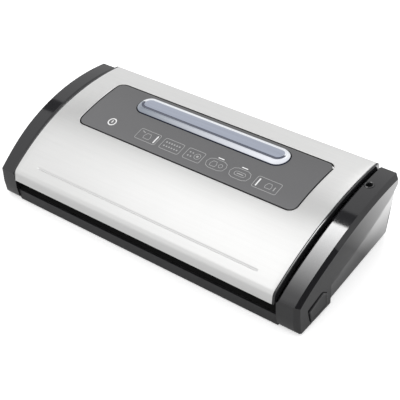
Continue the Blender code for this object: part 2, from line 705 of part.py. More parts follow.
# ---- end caps ----
def hinge_bore(side, sign):
    """Cutter for the hinge pin's hole through the lid's end wall and the cap's inner wall."""
    name = "hinge_bore_" + side
    if name in bpy.data.objects:
        return bpy.data.objects[name]
    start = (sign * (SKIN_HALF - OVERSHOOT), HINGE_Y, HINGE_Z)
    end = (sign * (CAP_INNER + CAP_WALL + OVERSHOOT), HINGE_Y, HINGE_Z)
    return tool(cylinder(name, start, end, HINGE_PIN_RADIUS + SLIDE_FIT, 24))


def cap_ring(inset):
    """Side view of an end cap, shrunk by inset and open downwards when it is shrunk."""
    front, rear = FRONT + CAP_FRONT_INSET, REAR - CAP_REAR_INSET
    top = [(y, cap_height(y, inset)) for y in span(front + inset, rear - inset, ARC_STEPS)]
    bottom = BASE_Z if inset == 0 else BASE_Z - OVERSHOOT
    overhang = SKIRT_Z + inset
    wall = REAR_WALL + CAP_REAR_DRAFT - inset
    return [(front + CAP_TOE + inset, bottom), (front - CAP_TOE + inset, BASE_Z + CAP_TOE_RISE),
            (front - CAP_BROW + inset, CAP_FRONT_Z - CAP_BROW_DROP), *top,
            (rear - inset, overhang), (wall, overhang), (wall - CAP_REAR_DRAFT, bottom)]


def chamfer_outer_edges(obj, sign):
    """Chamfer the edges round the cap's side face, apart from its lower edge."""
    bm = bmesh.new()
    bm.from_mesh(obj.data)
    place = obj.matrix_world
    edges = []
    for edge in bm.edges:
        ends = [place @ vert.co for vert in edge.verts]
        on_side = all(end.x * sign > HALF - FIT for end in ends)
        low, high = sorted(end.z for end in ends)
        if on_side and low > BASE_Z and high > BASE_Z + CAP_TOE_RISE + FIT:
            edges.append(edge)
    bmesh.ops.bevel(bm, geom=edges, offset=CAP_CHAMFER, segments=1, profile=0.5, affect="EDGES",
                    material=-1)
    bmesh.ops.recalc_face_normals(bm, faces=bm.faces)
    bm.to_mesh(obj.data)
    bm.free()


def taper_cutter(side, sign):
    """Wedge that leans the side face in below the crease, behind the straight front part."""
    pod_rear = FRONT + POD_LENGTH
    crease_run = REAR_WALL - pod_rear
    drop = CREASE_REAR_Z - BASE_Z
    slope = CAP_TAPER / drop
    behind = REAR_WALL + POD_SLANT
    ring = [(pod_rear - POD_SLANT, BASE_Z - OVERSHOOT), (pod_rear, CREASE_FRONT_Z),
            (REAR_WALL, CREASE_REAR_Z), (behind, CREASE_REAR_Z), (behind, BASE_Z - OVERSHOOT)]
    low, high = sorted((sign * CAP_INNER, sign * (HALF + CAP_WIDTH)))
    wedge = prism("taper_cut_" + side, [ring], low, high, "X")
    place = wedge.matrix_world
    back = place.inverted()
    for vert in wedge.data.vertices:
        point = place @ vert.co
        if point.x * sign < HALF:
            crease = CREASE_FRONT_Z + (CREASE_REAR_Z - CREASE_FRONT_Z) * (point.y - pod_rear) / crease_run
            point.x = sign * (HALF - (crease - point.z) * slope)
            vert.co = back @ point
    return tool(wedge)


def button_ring(grow):
    """Side view of a release button, grown all round."""
    front, rear = FRONT + BUTTON_FRONT - grow, FRONT + BUTTON_REAR + grow
    low = BUTTON_LOW_Z - grow
    return [(front, BUTTON_FRONT_Z + grow), (front + BUTTON_SLANT, low), (rear, low),
            (rear, BUTTON_REAR_Z + grow), (rear - BUTTON_PEAK_FROM_REAR, BUTTON_PEAK_Z + grow)]


def build_caps():
    for side, sign in SIDES:
        low, high = sorted((sign * CAP_INNER, sign * HALF))
        cap = prism(side + "_end_cap", [cap_ring(0)], low, high, "X")
        chamfer_outer_edges(cap, sign)
        inner = sign * (CAP_INNER + CAP_WALL)
        lean = sign * (HALF - CAP_TAPER - CAP_WALL)
        low, high = sorted((inner, lean))
        hollow = tool(prism("cap_hollow_" + side, [cap_ring(CAP_WALL)], low, high, "X"))
        pod_rear = FRONT + POD_LENGTH - 2 * CAP_WALL
        pod = tool(box("pod_hollow_" + side,
                       (min(inner, sign * (HALF - CAP_WALL)), FRONT + CAP_FRONT_INSET + 2 * CAP_WALL,
                        BASE_Z - OVERSHOOT),
                       (max(inner, sign * (HALF - CAP_WALL)), pod_rear, CAP_FRONT_Z - 2 * CAP_WALL)))
        window = tool(prism("button_window_" + side, [button_ring(SLIDE_FIT)],
                            *sorted((sign * (HALF - 2 * CAP_WALL), sign * (HALF + CAP_WALL))), "X"))
        half_width = BUTTON_STEM_WIDTH / 2 + SLIDE_FIT
        half_height = BUTTON_STEM_HEIGHT / 2 + SLIDE_FIT
        slot_low, slot_high = sorted((sign * (CAP_INNER - CAP_WALL), sign * (CAP_INNER + 2 * CAP_WALL)))
        slot = tool(box("stem_slot_" + side, (slot_low, LATCH_Y - half_width, STEM_Z - half_height),
                        (slot_high, LATCH_Y + half_width, STEM_Z + half_height)))
        cut(cap, taper_cutter(side, sign), hollow, pod, window, slot, hinge_bore(side, sign))
        if side == "right":
            top = cap_height(PORT_Y)
            port_hole = tool(cylinder("port_hole", (PORT_X, PORT_Y, top - PORT_LENGTH - FIT),
                                      (PORT_X, PORT_Y, top + CAP_WALL), PORT_RADIUS + FIT, 28))
            hose_hole = tool(cylinder("hose_hole", (CAP_INNER - CAP_WALL, HOSE_HOLE_Y, HOSE_HOLE_Z),
                                      (CAP_INNER + 2 * CAP_WALL, HOSE_HOLE_Y, HOSE_HOLE_Z),
                                      HOSE_RADIUS + HOSE_CLEAR, 20))
            cut(cap, port_hole, hose_hole)
        finish(cap, "gloss_black", smooth=True)
        start = (sign * (SKIN_HALF - HINGE_PIN_LENGTH / 6), HINGE_Y, HINGE_Z)
        end = (sign * (SKIN_HALF + 5 * HINGE_PIN_LENGTH / 6), HINGE_Y, HINGE_Z)
        finish(cylinder("hinge_pin_" + side, start, end, HINGE_PIN_RADIUS, 24), "zinc", smooth=True)


# ---- base ----
def build_tray():
    """Lower housing: floor, front lip and rear wall in one moulding."""
    wall = BASE_WALL
    ring = [(LIP_Y, BASE_Z), (REAR_WALL, BASE_Z), (REAR_WALL, REAR_WALL_Z),
            (REAR_WALL - wall, REAR_WALL_Z), (REAR_WALL - wall, FLOOR_Z),
            (LIP_Y + wall, FLOOR_Z), (LIP_Y + wall, LIP_Z), (LIP_Y, LIP_Z)]
    tray = prism("base_tray", [ring], -BASE_HALF, BASE_HALF, "X")
    for i, (x, y) in enumerate(SCREWS):
        boss = tool(cylinder(f"tray_boss_{i}", (x, y, FLOOR_Z - wall / 2), (x, y, FLOOR_Z + BOSS_HEIGHT),
                             BOSS_RADIUS, 16))
        join(tray, boss)
    stand_points = [(x, y) for x in (BOARD_LOW[0] + STANDOFF_INSET, BOARD_HIGH[0] - STANDOFF_INSET)
                    for y in (BOARD_LOW[1] + STANDOFF_INSET, BOARD_HIGH[1] - STANDOFF_INSET)]
    for i, (x, y) in enumerate(stand_points):
        join(tray, tool(cylinder(f"board_standoff_{i}", (x, y, FLOOR_Z - wall / 2),
                                 (x, y, FLOOR_Z + STANDOFF_HEIGHT), STANDOFF_RADIUS, 12)))
    for i, (x, y) in enumerate(SCREWS):
        head = tool(cylinder(f"screw_sink_{i}", (x, y, BASE_Z - OVERSHOOT),
                             (x, y, BASE_Z + SCREW_HEAD + 3 * FIT), SCREW_HEAD_RADIUS + FIT, 16))
        shank = tool(cylinder(f"screw_hole_{i}", (x, y, BASE_Z), (x, y, FLOOR_Z + 2 * BOSS_HEIGHT),
                              SCREW_RADIUS + FIT, 12))
        cut(tray, head, shank)
    for name, x, y in FEET:
        cut(tray, tool(cylinder("stud_hole_" + name, (x, y, BASE_Z - wall), (x, y, FLOOR_Z + wall),
                                FOOT_STUD_RADIUS + FIT, 16)))
    half_width = INLET_WIDTH / 2 + FIT
    half_height = INLET_HEIGHT / 2 + FIT
    cut(tray, tool(box("inlet_cut", (INLET_X - half_width, REAR_WALL - 2 * wall, INLET_Z - half_height),
                       (INLET_X + half_width, REAR_WALL + wall, INLET_Z + half_height))))
    finish(tray, "matt_black")

    for name, x, y in FEET:
        top = BASE_Z - FIT
        profile = [(0, top + FOOT_STUD), (FOOT_STUD_RADIUS, top + FOOT_STUD),
                   (FOOT_STUD_RADIUS, top), (FOOT_RADIUS, top), (FOOT_RADIUS - FOOT_DRAFT, 0), (0, 0)]
        finish(turned("foot_" + name, profile, (x, y, 0)), "rubber", smooth=True)
    for i, (x, y) in enumerate(SCREWS):
        low = BASE_Z + FIT
        profile = [(0, low + SCREW_HEAD + SCREW_LENGTH), (SCREW_RADIUS, low + SCREW_HEAD + SCREW_LENGTH),
                   (SCREW_RADIUS, low + SCREW_HEAD), (SCREW_HEAD_RADIUS, low + SCREW_HEAD),
                   (SCREW_HEAD_RADIUS, low), (0, low)]
        finish(turned(f"base_screw_{i + 1}", profile, (x, y, 0), steps=12), "zinc", smooth=True)


def build_deck():
    """Upper housing: ramp, flat seat and raised rear, with screw posts under it."""
    def deck_points(drop):
        front = LIP_Y + BASE_WALL + FIT
        rear = REAR_WALL - BASE_WALL - FIT
        return [(front, LIP_Z - drop), (SEAT_Y, SEAT_Z - drop), (SEAT_REAR + drop, SEAT_Z - drop),
                (RISER_REAR + drop, RISER_Z - drop), (rear, DECK_REAR_Z - drop)]
    ring = deck_points(0) + deck_points(BASE_WALL)[::-1]
    deck = prism("base_deck", [ring], -BASE_HALF, BASE_HALF, "X")
    for i, (x, y) in enumerate(SCREWS):
        roof = SEAT_UNDER if y < SEAT_REAR else deck_height(y) - BASE_WALL
        base = FLOOR_Z + BOSS_HEIGHT + FIT
        join(deck, tool(cylinder(f"post_{i}", (x, y, base), (x, y, roof + BASE_WALL / 2),
                                 POST_RADIUS, 16)))
        cut(deck, tool(cylinder(f"pilot_{i}", (x, y, base - BOSS_HEIGHT),
                                (x, y, BASE_Z + 2 * SCREW_HEAD + SCREW_LENGTH),
                                SCREW_RADIUS + FIT, 12)))
    half = TRAY_HALF + FIT
    cut(deck, tool(box("tray_cut", (-half, TRAY_Y - FIT, SEAT_Z - 2 * BASE_WALL),
                       (half, TRAY_REAR + FIT, SEAT_Z + BASE_WALL))))
    cut(deck, tool(cylinder("nozzle_hole", (NOZZLE_X, NOZZLE_Y, SEAT_Z - 2 * BASE_WALL),
                            (NOZZLE_X, NOZZLE_Y, SEAT_Z + BASE_WALL), NOZZLE_RADIUS + FIT, 20)))
    cut(deck, tool(cylinder("nib_hole", (SWITCH_X, SWITCH_TIP_Y, SEAT_Z - 2 * BASE_WALL),
                            (SWITCH_X, SWITCH_TIP_Y, SEAT_Z + BASE_WALL), NIB_HOLE_RADIUS, 20)))
    for side, sign in SIDES:
        low, high = sorted((sign * (LATCH_X - LATCH_SLOT_IN), sign * (LATCH_X + LATCH_SLOT_OUT)))
        cut(deck, tool(box("latch_slot_" + side, (low, LATCH_Y - LATCH_SLOT_HALF, SEAT_Z - 2 * BASE_WALL),
                           (high, LATCH_Y + LATCH_SLOT_HALF, SEAT_Z + BASE_WALL))))
    finish(deck, "matt_black")


def build_seal():
    """Sealing bar with its heater and tape, gasket, drip tray and suction nozzle on the deck."""
    half = BAR_WIDTH / 2
    low = SEAT_Z + FIT
    bar = box("sealing_bar", (-BAR_HALF, BAR_Y - half, low), (BAR_HALF, BAR_Y + half, low + BAR_HEIGHT))
    finish(round_edges(bar, BAR_ROUND), "white_plastic")
    low += BAR_HEIGHT + FIT
    reach = BAR_HALF - HEATER_SIDE
    finish(box("heating_strip", (-reach, BAR_Y - HEATER_WIDTH / 2, low),
               (reach, BAR_Y + HEATER_WIDTH / 2, low + HEATER_THICK)), "heater")
    low += HEATER_THICK + FIT
    tape_half = half - BAR_ROUND
    finish(box("seal_tape", (-reach, BAR_Y - tape_half, low),
               (reach, BAR_Y + tape_half, low + TAPE_THICK)), "ptfe")
    cutoff_z = SEAT_UNDER - CUTOFF_DROP
    cutoff = cylinder("thermal_cutoff", (-CUTOFF_LENGTH / 2, BAR_Y, cutoff_z),
                      (CUTOFF_LENGTH / 2, BAR_Y, cutoff_z), CUTOFF_RADIUS, 12)
    finish(cutoff, "zinc", smooth=True)
    finish(gasket_ring("lower_gasket", SEAT_Z + FIT, SEAT_Z + FIT + GASKET_HEIGHT), "foam")

    half = TRAY_HALF
    flange_z = SEAT_Z + FIT
    tray = box("drip_tray", (-half, TRAY_Y, flange_z + TRAY_WALL - TRAY_DEPTH),
               (half, TRAY_REAR, flange_z + TRAY_WALL))
    rim = tool(box("drip_rim", (-half - TRAY_FLANGE, TRAY_Y - TRAY_FLANGE, flange_z),
                   (half + TRAY_FLANGE, TRAY_REAR + TRAY_FLANGE, flange_z + TRAY_WALL)))
    hollow = tool(box("drip_hollow", (-half + TRAY_WALL, TRAY_Y + TRAY_WALL,
                                      flange_z + 2 * TRAY_WALL - TRAY_DEPTH),
                      (half - TRAY_WALL, TRAY_REAR - TRAY_WALL, flange_z + 3 * TRAY_WALL)))
    finish(cut(join(tray, rim), hollow), "matt_black")

    top, foot = SEAT_Z + NOZZLE_PROUD, SEAT_Z - NOZZLE_FOOT
    profile = [(NOZZLE_BORE, top), (NOZZLE_RADIUS, top), (NOZZLE_RADIUS, foot), (NOZZLE_BORE, foot),
               (NOZZLE_BORE, top)]
    nozzle = turned("suction_nozzle", profile, (NOZZLE_X, NOZZLE_Y, 0), steps=20)
    finish(nozzle, "gloss_black", smooth=True)


# ---- release buttons and latches ----
def build_release():
    for side, sign in SIDES:
        face = HALF + BUTTON_PROUD
        flange_outer = HALF - CAP_WALL - FIT
        flange_inner = flange_outer - BUTTON_PLATE
        plate = prism("release_button_" + side, [button_ring(0)],
                      *sorted((sign * (flange_outer - BUTTON_PLATE / 2), sign * face)), "X")
        flange = tool(prism("button_flange_" + side, [button_ring(BUTTON_FLANGE)],
                            *sorted((sign * flange_inner, sign * flange_outer)), "X"))
        stem_low, stem_high = sorted((sign * (LATCH_FACE + FIT), sign * (flange_inner + BUTTON_PLATE / 2)))
        half_width, half_height = BUTTON_STEM_WIDTH / 2, BUTTON_STEM_HEIGHT / 2
        stem = tool(box("button_stem_" + side, (stem_low, LATCH_Y - half_width, STEM_Z - half_height),
                        (stem_high, LATCH_Y + half_width, STEM_Z + half_height)))
        finish(join(plate, flange, stem), "gloss_black")
        hang_on(joint_empty("button_axis_" + side, (sign * HALF, LATCH_Y, STEM_Z)), plate)

        start, end = CAP_INNER + CAP_WALL + FIT + SPRING_WIRE, flange_inner - FIT - SPRING_WIRE
        steps = 9 * SPRING_TURNS
        points = []
        for i in range(steps + 1):
            turn = 2 * math.pi * SPRING_TURNS * i / steps
            points.append((sign * (start + (end - start) * i / steps),
                           LATCH_Y + SPRING_RADIUS * math.cos(turn),
                           STEM_Z + SPRING_RADIUS * math.sin(turn)))
        finish(tube("button_spring_" + side, points, SPRING_WIRE), "zinc")

        inner, outer = LATCH_X - LATCH_THICK / 2, LATCH_FACE
        head = LATCH_Z + LATCH_HEAD
        ring = [(inner, LATCH_Z - LATCH_ARM), (outer, LATCH_Z - LATCH_ARM), (outer, head),
                (inner - LATCH_NOSE, head), (inner, head - LATCH_NOSE_HEIGHT)]
        ring = [(sign * x, z) for x, z in ring]
        half = LATCH_WIDTH / 2
        latch = prism("latch_" + side, [ring], LATCH_Y - half, LATCH_Y + half, "Y")
        reach = half + LATCH_PIN_REACH
        ends = ((sign * LATCH_X, LATCH_Y - reach, LATCH_Z), (sign * LATCH_X, LATCH_Y + reach, LATCH_Z))
        cut(latch, tool(cylinder("latch_bore_" + side, *ends, LATCH_PIN_RADIUS + FIT, 16)))
        finish(latch, "zinc")
        hang_on(joint_empty("latch_axis_" + side, (sign * LATCH_X, LATCH_Y, LATCH_Z)), latch)
        finish(cylinder("latch_pin_" + side, *ends, LATCH_PIN_RADIUS, 16), "zinc", smooth=True)


# ---- pump, hoses, valve, switch and electrics ----
def build_pump():
    motor_end = MOTOR_X + MOTOR_LENGTH
    bore = SHAFT_RADIUS + SLIDE_FIT
    profile = [(bore, MOTOR_LENGTH), (MOTOR_RADIUS, MOTOR_LENGTH), (MOTOR_RADIUS, 0), (bore, 0),
               (bore, MOTOR_LENGTH)]
    motor = turned("pump_motor", profile, (MOTOR_X, PUMP_Y, PUMP_Z), axis="X", steps=28)
    finish(motor, "zinc", smooth=True)

    head_start = motor_end + HEAD_GAP
    head_end = head_start + HEAD_LENGTH
    half = HEAD_SIDE / 2
    head = box("pump_head", (head_start, PUMP_Y - half, PUMP_Z - half),
               (head_end, PUMP_Y + half, PUMP_Z + half))
    cavity_radius = CRANK_RADIUS + CRANK_THROW + 2 * MM
    cavity = tool(cylinder("pump_cavity", (head_start - HEAD_GAP, PUMP_Y, PUMP_Z),
                           (head_start + CAVITY_LENGTH, PUMP_Y, PUMP_Z), cavity_radius, 24))
    finish(cut(head, cavity), "white_plastic")
    finish(cylinder("pump_diaphragm", (head_end + FIT, PUMP_Y, PUMP_Z),
                    (head_end + FIT + DIAPHRAGM, PUMP_Y, PUMP_Z), half - BRACKET_INSET, 24),
           "rubber", smooth=True)
    cover_start = head_end + DIAPHRAGM + 2 * FIT
    cover = box("pump_cover", (cover_start, PUMP_Y - half, PUMP_Z - half),
                (cover_start + COVER_LENGTH, PUMP_Y + half, PUMP_Z + half))
    finish(round_edges(cover, 1.5 * MM), "matt_black")
    finish(box("pump_bracket", (MOTOR_X + BRACKET_INSET, PUMP_Y - half + BRACKET_INSET, FLOOR_Z + FIT),
               (cover_start, PUMP_Y + half - BRACKET_INSET, PUMP_Z - half - FIT)), "zinc")

    shaft = cylinder("pump_rotor", (MOTOR_X - CRANK_LENGTH, PUMP_Y, PUMP_Z),
                     (head_start + CRANK_START + CRANK_LENGTH / 2, PUMP_Y, PUMP_Z), SHAFT_RADIUS, 16)
    crank_y = PUMP_Y + CRANK_THROW
    crank = tool(cylinder("pump_crank", (head_start + CRANK_START, crank_y, PUMP_Z),
                          (head_start + CRANK_START + CRANK_LENGTH, crank_y, PUMP_Z), CRANK_RADIUS, 20))
    finish(join(shaft, crank), "zinc", smooth=True)
    hang_on(joint_empty("pump_axis", (MOTOR_X, PUMP_Y, PUMP_Z)), shaft)

    port_x = cover_start + COVER_LENGTH + FIT
    floor = FLOOR_Z + HOSE_RADIUS + 1 * MM
    low_end, high_end = PUMP_Y - HOSE_PORT_OFFSET, PUMP_Y + HOSE_PORT_OFFSET
    foot = SEAT_Z - NOZZLE_FOOT - FIT
    vacuum = [(NOZZLE_X, NOZZLE_Y, foot), (NOZZLE_X, NOZZLE_Y + 1 * MM, foot - 3.7 * MM),
              (NOZZLE_X + 2 * MM, NOZZLE_Y + 7 * MM, floor), (NOZZLE_X + 6 * MM, NOZZLE_Y + 20 * MM, floor),
              (NOZZLE_X + 5 * MM, low_end - 3 * MM, floor + 4 * MM),
              (port_x + 5 * MM, low_end, PUMP_Z - 6 * MM), (port_x, low_end, PUMP_Z - 6 * MM)]
    finish(tube("vacuum_hose", vacuum, HOSE_RADIUS, 1, 4), "clear_hose")

    top = cap_height(PORT_Y)
    low = top + PORT_PROUD - PORT_LENGTH
    profile = [(PORT_BORE, top + PORT_PROUD), (PORT_RADIUS, top + PORT_PROUD), (PORT_RADIUS, low),
               (PORT_BORE, low), (PORT_BORE, top + PORT_PROUD)]
    finish(turned("accessory_port", profile, (PORT_X, PORT_Y, 0), steps=28), "matt_black", smooth=True)
    accessory = [(PORT_X, PORT_Y, low - FIT), (PORT_X, PORT_Y - 1 * MM, low - 8 * MM),
                 (PORT_X, HOSE_HOLE_Y, HOSE_HOLE_Z + 9 * MM),
                 (CAP_INNER + CAP_WALL + 3 * MM, HOSE_HOLE_Y, HOSE_HOLE_Z + 1 * MM),
                 (CAP_INNER - 3 * MM, HOSE_HOLE_Y, HOSE_HOLE_Z - 1 * MM),
                 (CAP_INNER - 12 * MM, HOSE_HOLE_Y, HOSE_HOLE_Z - 4 * MM),
                 (port_x + 20 * MM, high_end, PUMP_Z + 8 * MM),
                 (port_x, high_end, PUMP_Z + 6 * MM)]
    finish(tube("accessory_hose", accessory, HOSE_RADIUS, 1, 4), "clear_hose")


def build_electrics():
    low_z = FLOOR_Z + STANDOFF_HEIGHT + FIT
    finish(box("power_board", (*BOARD_LOW, low_z), (*BOARD_HIGH, low_z + BOARD_WALL)), "board")
    board_top = low_z + BOARD_WALL + FIT
    core_low = Vector((BOARD_LOW[0] + CORE_INSET[0], BOARD_LOW[1] + CORE_INSET[1], board_top))
    core = box("transformer", core_low, core_low + Vector(CORE_SIZE))
    finish(round_edges(core, 1 * MM), "lamination")

    valve_x, valve_z, half = BOARD_HIGH[0] + VALVE_FROM_BOARD, FLOOR_Z + FIT, VALVE_SIDE / 2
    valve = box("release_valve", (valve_x - half, PUMP_Y - half, valve_z),
                (valve_x + half, PUMP_Y + half, valve_z + VALVE_HEIGHT))
    bore = tool(cylinder("valve_bore", (valve_x, PUMP_Y, valve_z + VALVE_FLOOR),
                         (valve_x, PUMP_Y, valve_z + VALVE_HEIGHT + OVERSHOOT),
                         PLUNGER_RADIUS + SLIDE_FIT, 20))
    finish(cut(valve, bore), "white_plastic")
    plunger_foot = (valve_x, PUMP_Y, valve_z + PLUNGER_LOW)
    plunger = cylinder("valve_plunger", plunger_foot,
                       (valve_x, PUMP_Y, plunger_foot[2] + PLUNGER_LENGTH), PLUNGER_RADIUS, 20)
    finish(plunger, "zinc", smooth=True)
    hang_on(joint_empty("valve_axis", plunger_foot), plunger)

    body_top = SWITCH_TOP - SWITCH_GAP
    pivot_y = SWITCH_TIP_Y + LEVER_LENGTH
    finish(box("lid_switch", (SWITCH_X - SWITCH_HALF, SWITCH_TIP_Y - 2 * MM, body_top - SWITCH_HEIGHT),
               (SWITCH_X + SWITCH_HALF, pivot_y + 2 * MM, body_top)), "matt_black")
    lever = box("switch_lever", (SWITCH_X - LEVER_HALF, SWITCH_TIP_Y - LEVER_TIP, SWITCH_TOP - LEVER_THICK),
                (SWITCH_X + LEVER_HALF, pivot_y, SWITCH_TOP))
    finish(lever, "zinc")
    hang_on(joint_empty("switch_axis", (SWITCH_X, pivot_y, SWITCH_TOP)), lever)

    half_width, half_height = INLET_WIDTH / 2, INLET_HEIGHT / 2
    inlet = box("power_inlet", (INLET_X - half_width, REAR_WALL - INLET_DEPTH, INLET_Z - half_height),
                (INLET_X + half_width, REAR_WALL + INLET_PROUD, INLET_Z + half_height))
    recess_floor = REAR_WALL + INLET_PROUD - INLET_RECESS
    recess = tool(box("inlet_recess", (INLET_X - half_width + INLET_WALL, recess_floor,
                                       INLET_Z - half_height + INLET_WALL),
                      (INLET_X + half_width - INLET_WALL, REAR_WALL + OVERSHOOT,
                       INLET_Z + half_height - INLET_WALL)))
    finish(cut(inlet, recess), "gloss_black")
    for side, sign in SIDES:
        x = INLET_X + sign * PIN_PITCH / 2
        finish(cylinder("inlet_pin_" + side, (x, recess_floor + FIT, INLET_Z),
                        (x, recess_floor + PIN_LENGTH, INLET_Z), PIN_RADIUS, 12), "brass", smooth=True)


for old in list(bpy.data.objects):
    bpy.data.objects.remove(old)
parts = new_collection("vacuum_sealer")
cutters = new_collection("cutters")
build_tray()
build_deck()
build_caps()
build_seal()
build_lid()
build_release()
build_pump()
build_electrics()
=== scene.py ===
"""Countertop vacuum sealer: the visible shapes and finishes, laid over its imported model.

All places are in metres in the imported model's frame: +X along the sealing bar, -Y the front, +Z up.
Pieces of the lid are drawn flat, as across, along and height over the sheet, then laid along its bend.
"""
import bisect
import math

import bmesh
import bpy
from bpy.props import FloatProperty, FloatVectorProperty, IntProperty, PointerProperty
from mathutils import Matrix, Vector


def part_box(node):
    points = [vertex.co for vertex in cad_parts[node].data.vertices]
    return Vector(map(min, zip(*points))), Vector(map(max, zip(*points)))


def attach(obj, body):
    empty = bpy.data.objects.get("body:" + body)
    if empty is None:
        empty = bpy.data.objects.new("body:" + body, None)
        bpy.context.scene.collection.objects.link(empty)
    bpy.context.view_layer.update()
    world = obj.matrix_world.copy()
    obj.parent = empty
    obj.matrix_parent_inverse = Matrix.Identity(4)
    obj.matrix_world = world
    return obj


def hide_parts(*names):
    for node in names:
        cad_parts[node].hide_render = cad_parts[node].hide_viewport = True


bl_info = {
    "name": "Vacuum Sealer",
    "version": (1, 0, 0),
    "blender": (4, 5, 0),
    "location": "3D Viewport > Sidebar > Vacuum Sealer",
    "description": "Builds the visible shapes and finishes of a countertop vacuum sealer",
    "category": "Object",
}

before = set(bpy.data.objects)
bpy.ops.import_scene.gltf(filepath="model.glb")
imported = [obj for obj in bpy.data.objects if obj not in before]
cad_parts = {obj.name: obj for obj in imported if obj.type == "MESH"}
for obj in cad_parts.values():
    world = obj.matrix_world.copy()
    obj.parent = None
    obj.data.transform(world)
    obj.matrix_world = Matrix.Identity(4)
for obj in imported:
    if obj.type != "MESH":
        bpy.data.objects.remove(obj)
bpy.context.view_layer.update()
LID_LOW, LID_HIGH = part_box("lid_skin")
MM = 0.001
SIDES = (("left", -1), ("right", 1))
FEET = ("foot_front_left", "foot_front_right", "foot_rear_left", "foot_rear_right")

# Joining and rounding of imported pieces
FIT = 0.3 * MM              # clearance between neighbouring pieces
WELD = 0.01 * MM            # points closer than this are one
SHARP = math.radians(28)    # steeper edges are rounded
CREASE = (math.radians(5), math.radians(16), 15 * MM)      # least and most angle, least length
ARC_INSET, ARC_STEPS = 3 * MM, 20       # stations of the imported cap's arc
CAP_CUTS = 10
BOW_FOOT, BOW_FULL = 12 * MM, 62 * MM   # heights between which a cap's bow grows
LID_BOW_REACH = 20 * MM
RIM_STEPS = 4
GROOVE_STEPS = 8

ICON_MIDDLE = 17 * MM       # touch areas' middle line behind the panel's front edge
FILM_DEEP = 1.6             # panel film: depth, and steps of its edge as growth and drop in millimetres
FILM_STEPS = ((-0.12, 0.08), (0, 0.35), (0, FILM_DEEP))

# Lower edge of the lid's end trims: height at the rear, and the step that clears the seat
TRIM_REAR_RISE, TRIM_STEP_GAP, TRIM_STEP_RUN, TRIM_STEP_DROP = 28 * MM, 1.5 * MM, 8 * MM, 14.5 * MM
# Edges of a cap: reach of its outer front corner, least length and height of its inner top edge
CORNER_REACH, INNER_RUN, INNER_RISE = 4 * MM, 6 * MM, 30 * MM

# Window: slots of its parts, among them a painted shade and a painted highlight, and rings as inset and
# height in millimetres
WINDOW_PAINTED_SHADE, WINDOW_BEVEL, WINDOW_PAINTED_HIGHLIGHT = 1, 2, 3
WINDOW_FOOT = ((0, -0.1), (0.15, 0.35), (0.6, 0.75))
WINDOW_RINGS = ((0.8, 0.0), (1.2, 0.25), (2.9, 0.25), (3.4, 0.0))
WINDOW_CROWN = (4.6, 0.12)
# Rings up to this inset get the painted highlight at the rear
PAINTED_HIGHLIGHT_INSET = 3.0             # rings up to this inset are bright at the rear

# Thumb inset of the buttons: width and depth of its two steps
THUMB_STEPS = ((1.6 * MM, 0.0), (0.5 * MM, -0.45 * MM))
# Groove under a foot, as radius and height in millimetres
FOOT_RING = ((5.5, 0), (5.1, 0.5), (4.3, 0.5), (3.9, 0))

# Strips of light that the glossy pieces mirror, from the rear forwards
GLOSSY = "glossy pieces"
STRIPS = 24
STRIP_WIDE, STRIP_DEEP = 0.5, 0.04
STRIP_X, STRIP_REAR, STRIP_RISE = -0.39, 0.39, 1.2
STRIP_LIGHT, STRIP_FALL = 19.0, 1.4
# Cards: name, place, target, width, depth and spin in degrees
CARDS = (("card_left", (-0.83, 0.44, 1.19), (-0.83, 0.44, 2), 1.3, 0.22, 7.4),
         ("card_right", (1.05, -0.15, 0.55), (0, 0, 0.05), 0.7, 0.4, 0.0))
# Lights: name, place, target, width, depth and radiance
LIGHTS = (("top_light", (-0.6, -0.2, 1.3), (-0.6, -0.2, 0), 0.8, 1.0, 0.6),
          ("rear_light", (0.1, 0.75, 0.95), (-0.05, 0.03, 0.07), 0.5, 0.3, 2.5))
FLOOR_WIDE = 8


# ---- settings ----
def length(name, description, millimetres):
    return FloatProperty(name=name, description=description, default=millimetres * MM, unit="LENGTH")


def number(name, description, default):
    return FloatProperty(name=name, description=description, default=default)


def tint(name, description, default):
    return FloatVectorProperty(name=name, description=description, default=default, subtype="COLOR",
                               min=0.0, max=1.0)


class LidSettings(bpy.types.PropertyGroup):
    """Sizes of the steel lid."""

    band_rise: length("Band rise", "Height of the front band", 10.9)
    band_lean: length("Band lean", "How far the front band leans back", 2.6)
    crown_setback: length("Crown setback", "Highest line to the rear edge", 42.4)
    skirt: length("Skirt height", "Lower edge of the rear skirt over the floor", 59.1)
    bend_reach: length("Front bend", "Reach of the bend between band and top", 3.4)
    rear_reach: length("Rear bend", "Reach of the bend into the rear skirt", 3.0)
    wall: length("Sheet thickness", "Thickness of the steel sheet", 0.8)
    rim: length("Rim radius", "Rolled rim round the control panel", 0.9)
    rim_border: length("Rim border", "Flat border that carries the rolled rim", 0.8)
    groove_y: length("Groove place", "Pressed line behind the front edge", 14.6)
    groove_half: length("Groove half length", "Half the length of the pressed line", 146.0)
    groove_width: length("Groove width", "Width of the pressed line", 3.2)
    groove_depth: length("Groove depth", "Depth of the pressed line", 0.7)
    trim_round: length("Trim rounding", "Rounding of the black end trims", 0.7)
    bow: length("End bow", "Outward bow of the lid's ends", 2.2)


class PanelSettings(bpy.types.PropertyGroup):
    """Sizes of the control panel, its window and its icons."""

    recess: length("Recess", "Panel face under the steel", 0.4)
    gap: length("Gap", "Dark gap round the panel and the window", 1.1)
    corner: length("Corner", "Corner radius of the panel", 9.0)
    lens_rise: length("Window rise", "Top of the window over the steel", 2.4)
    lens_front: length("Front bevel", "Width of the window's front bevel", 5.2)
    lens_rear: length("Rear bevel", "Width of the window's rear bevel", 1.4)
    lens_side: length("End bevel", "Width of the bevel at the window's ends", 3.6)
    line: length("Line width", "Width of the printed lines", 0.55)
    print_rise: length("Print height", "Print over the panel face", 0.1)


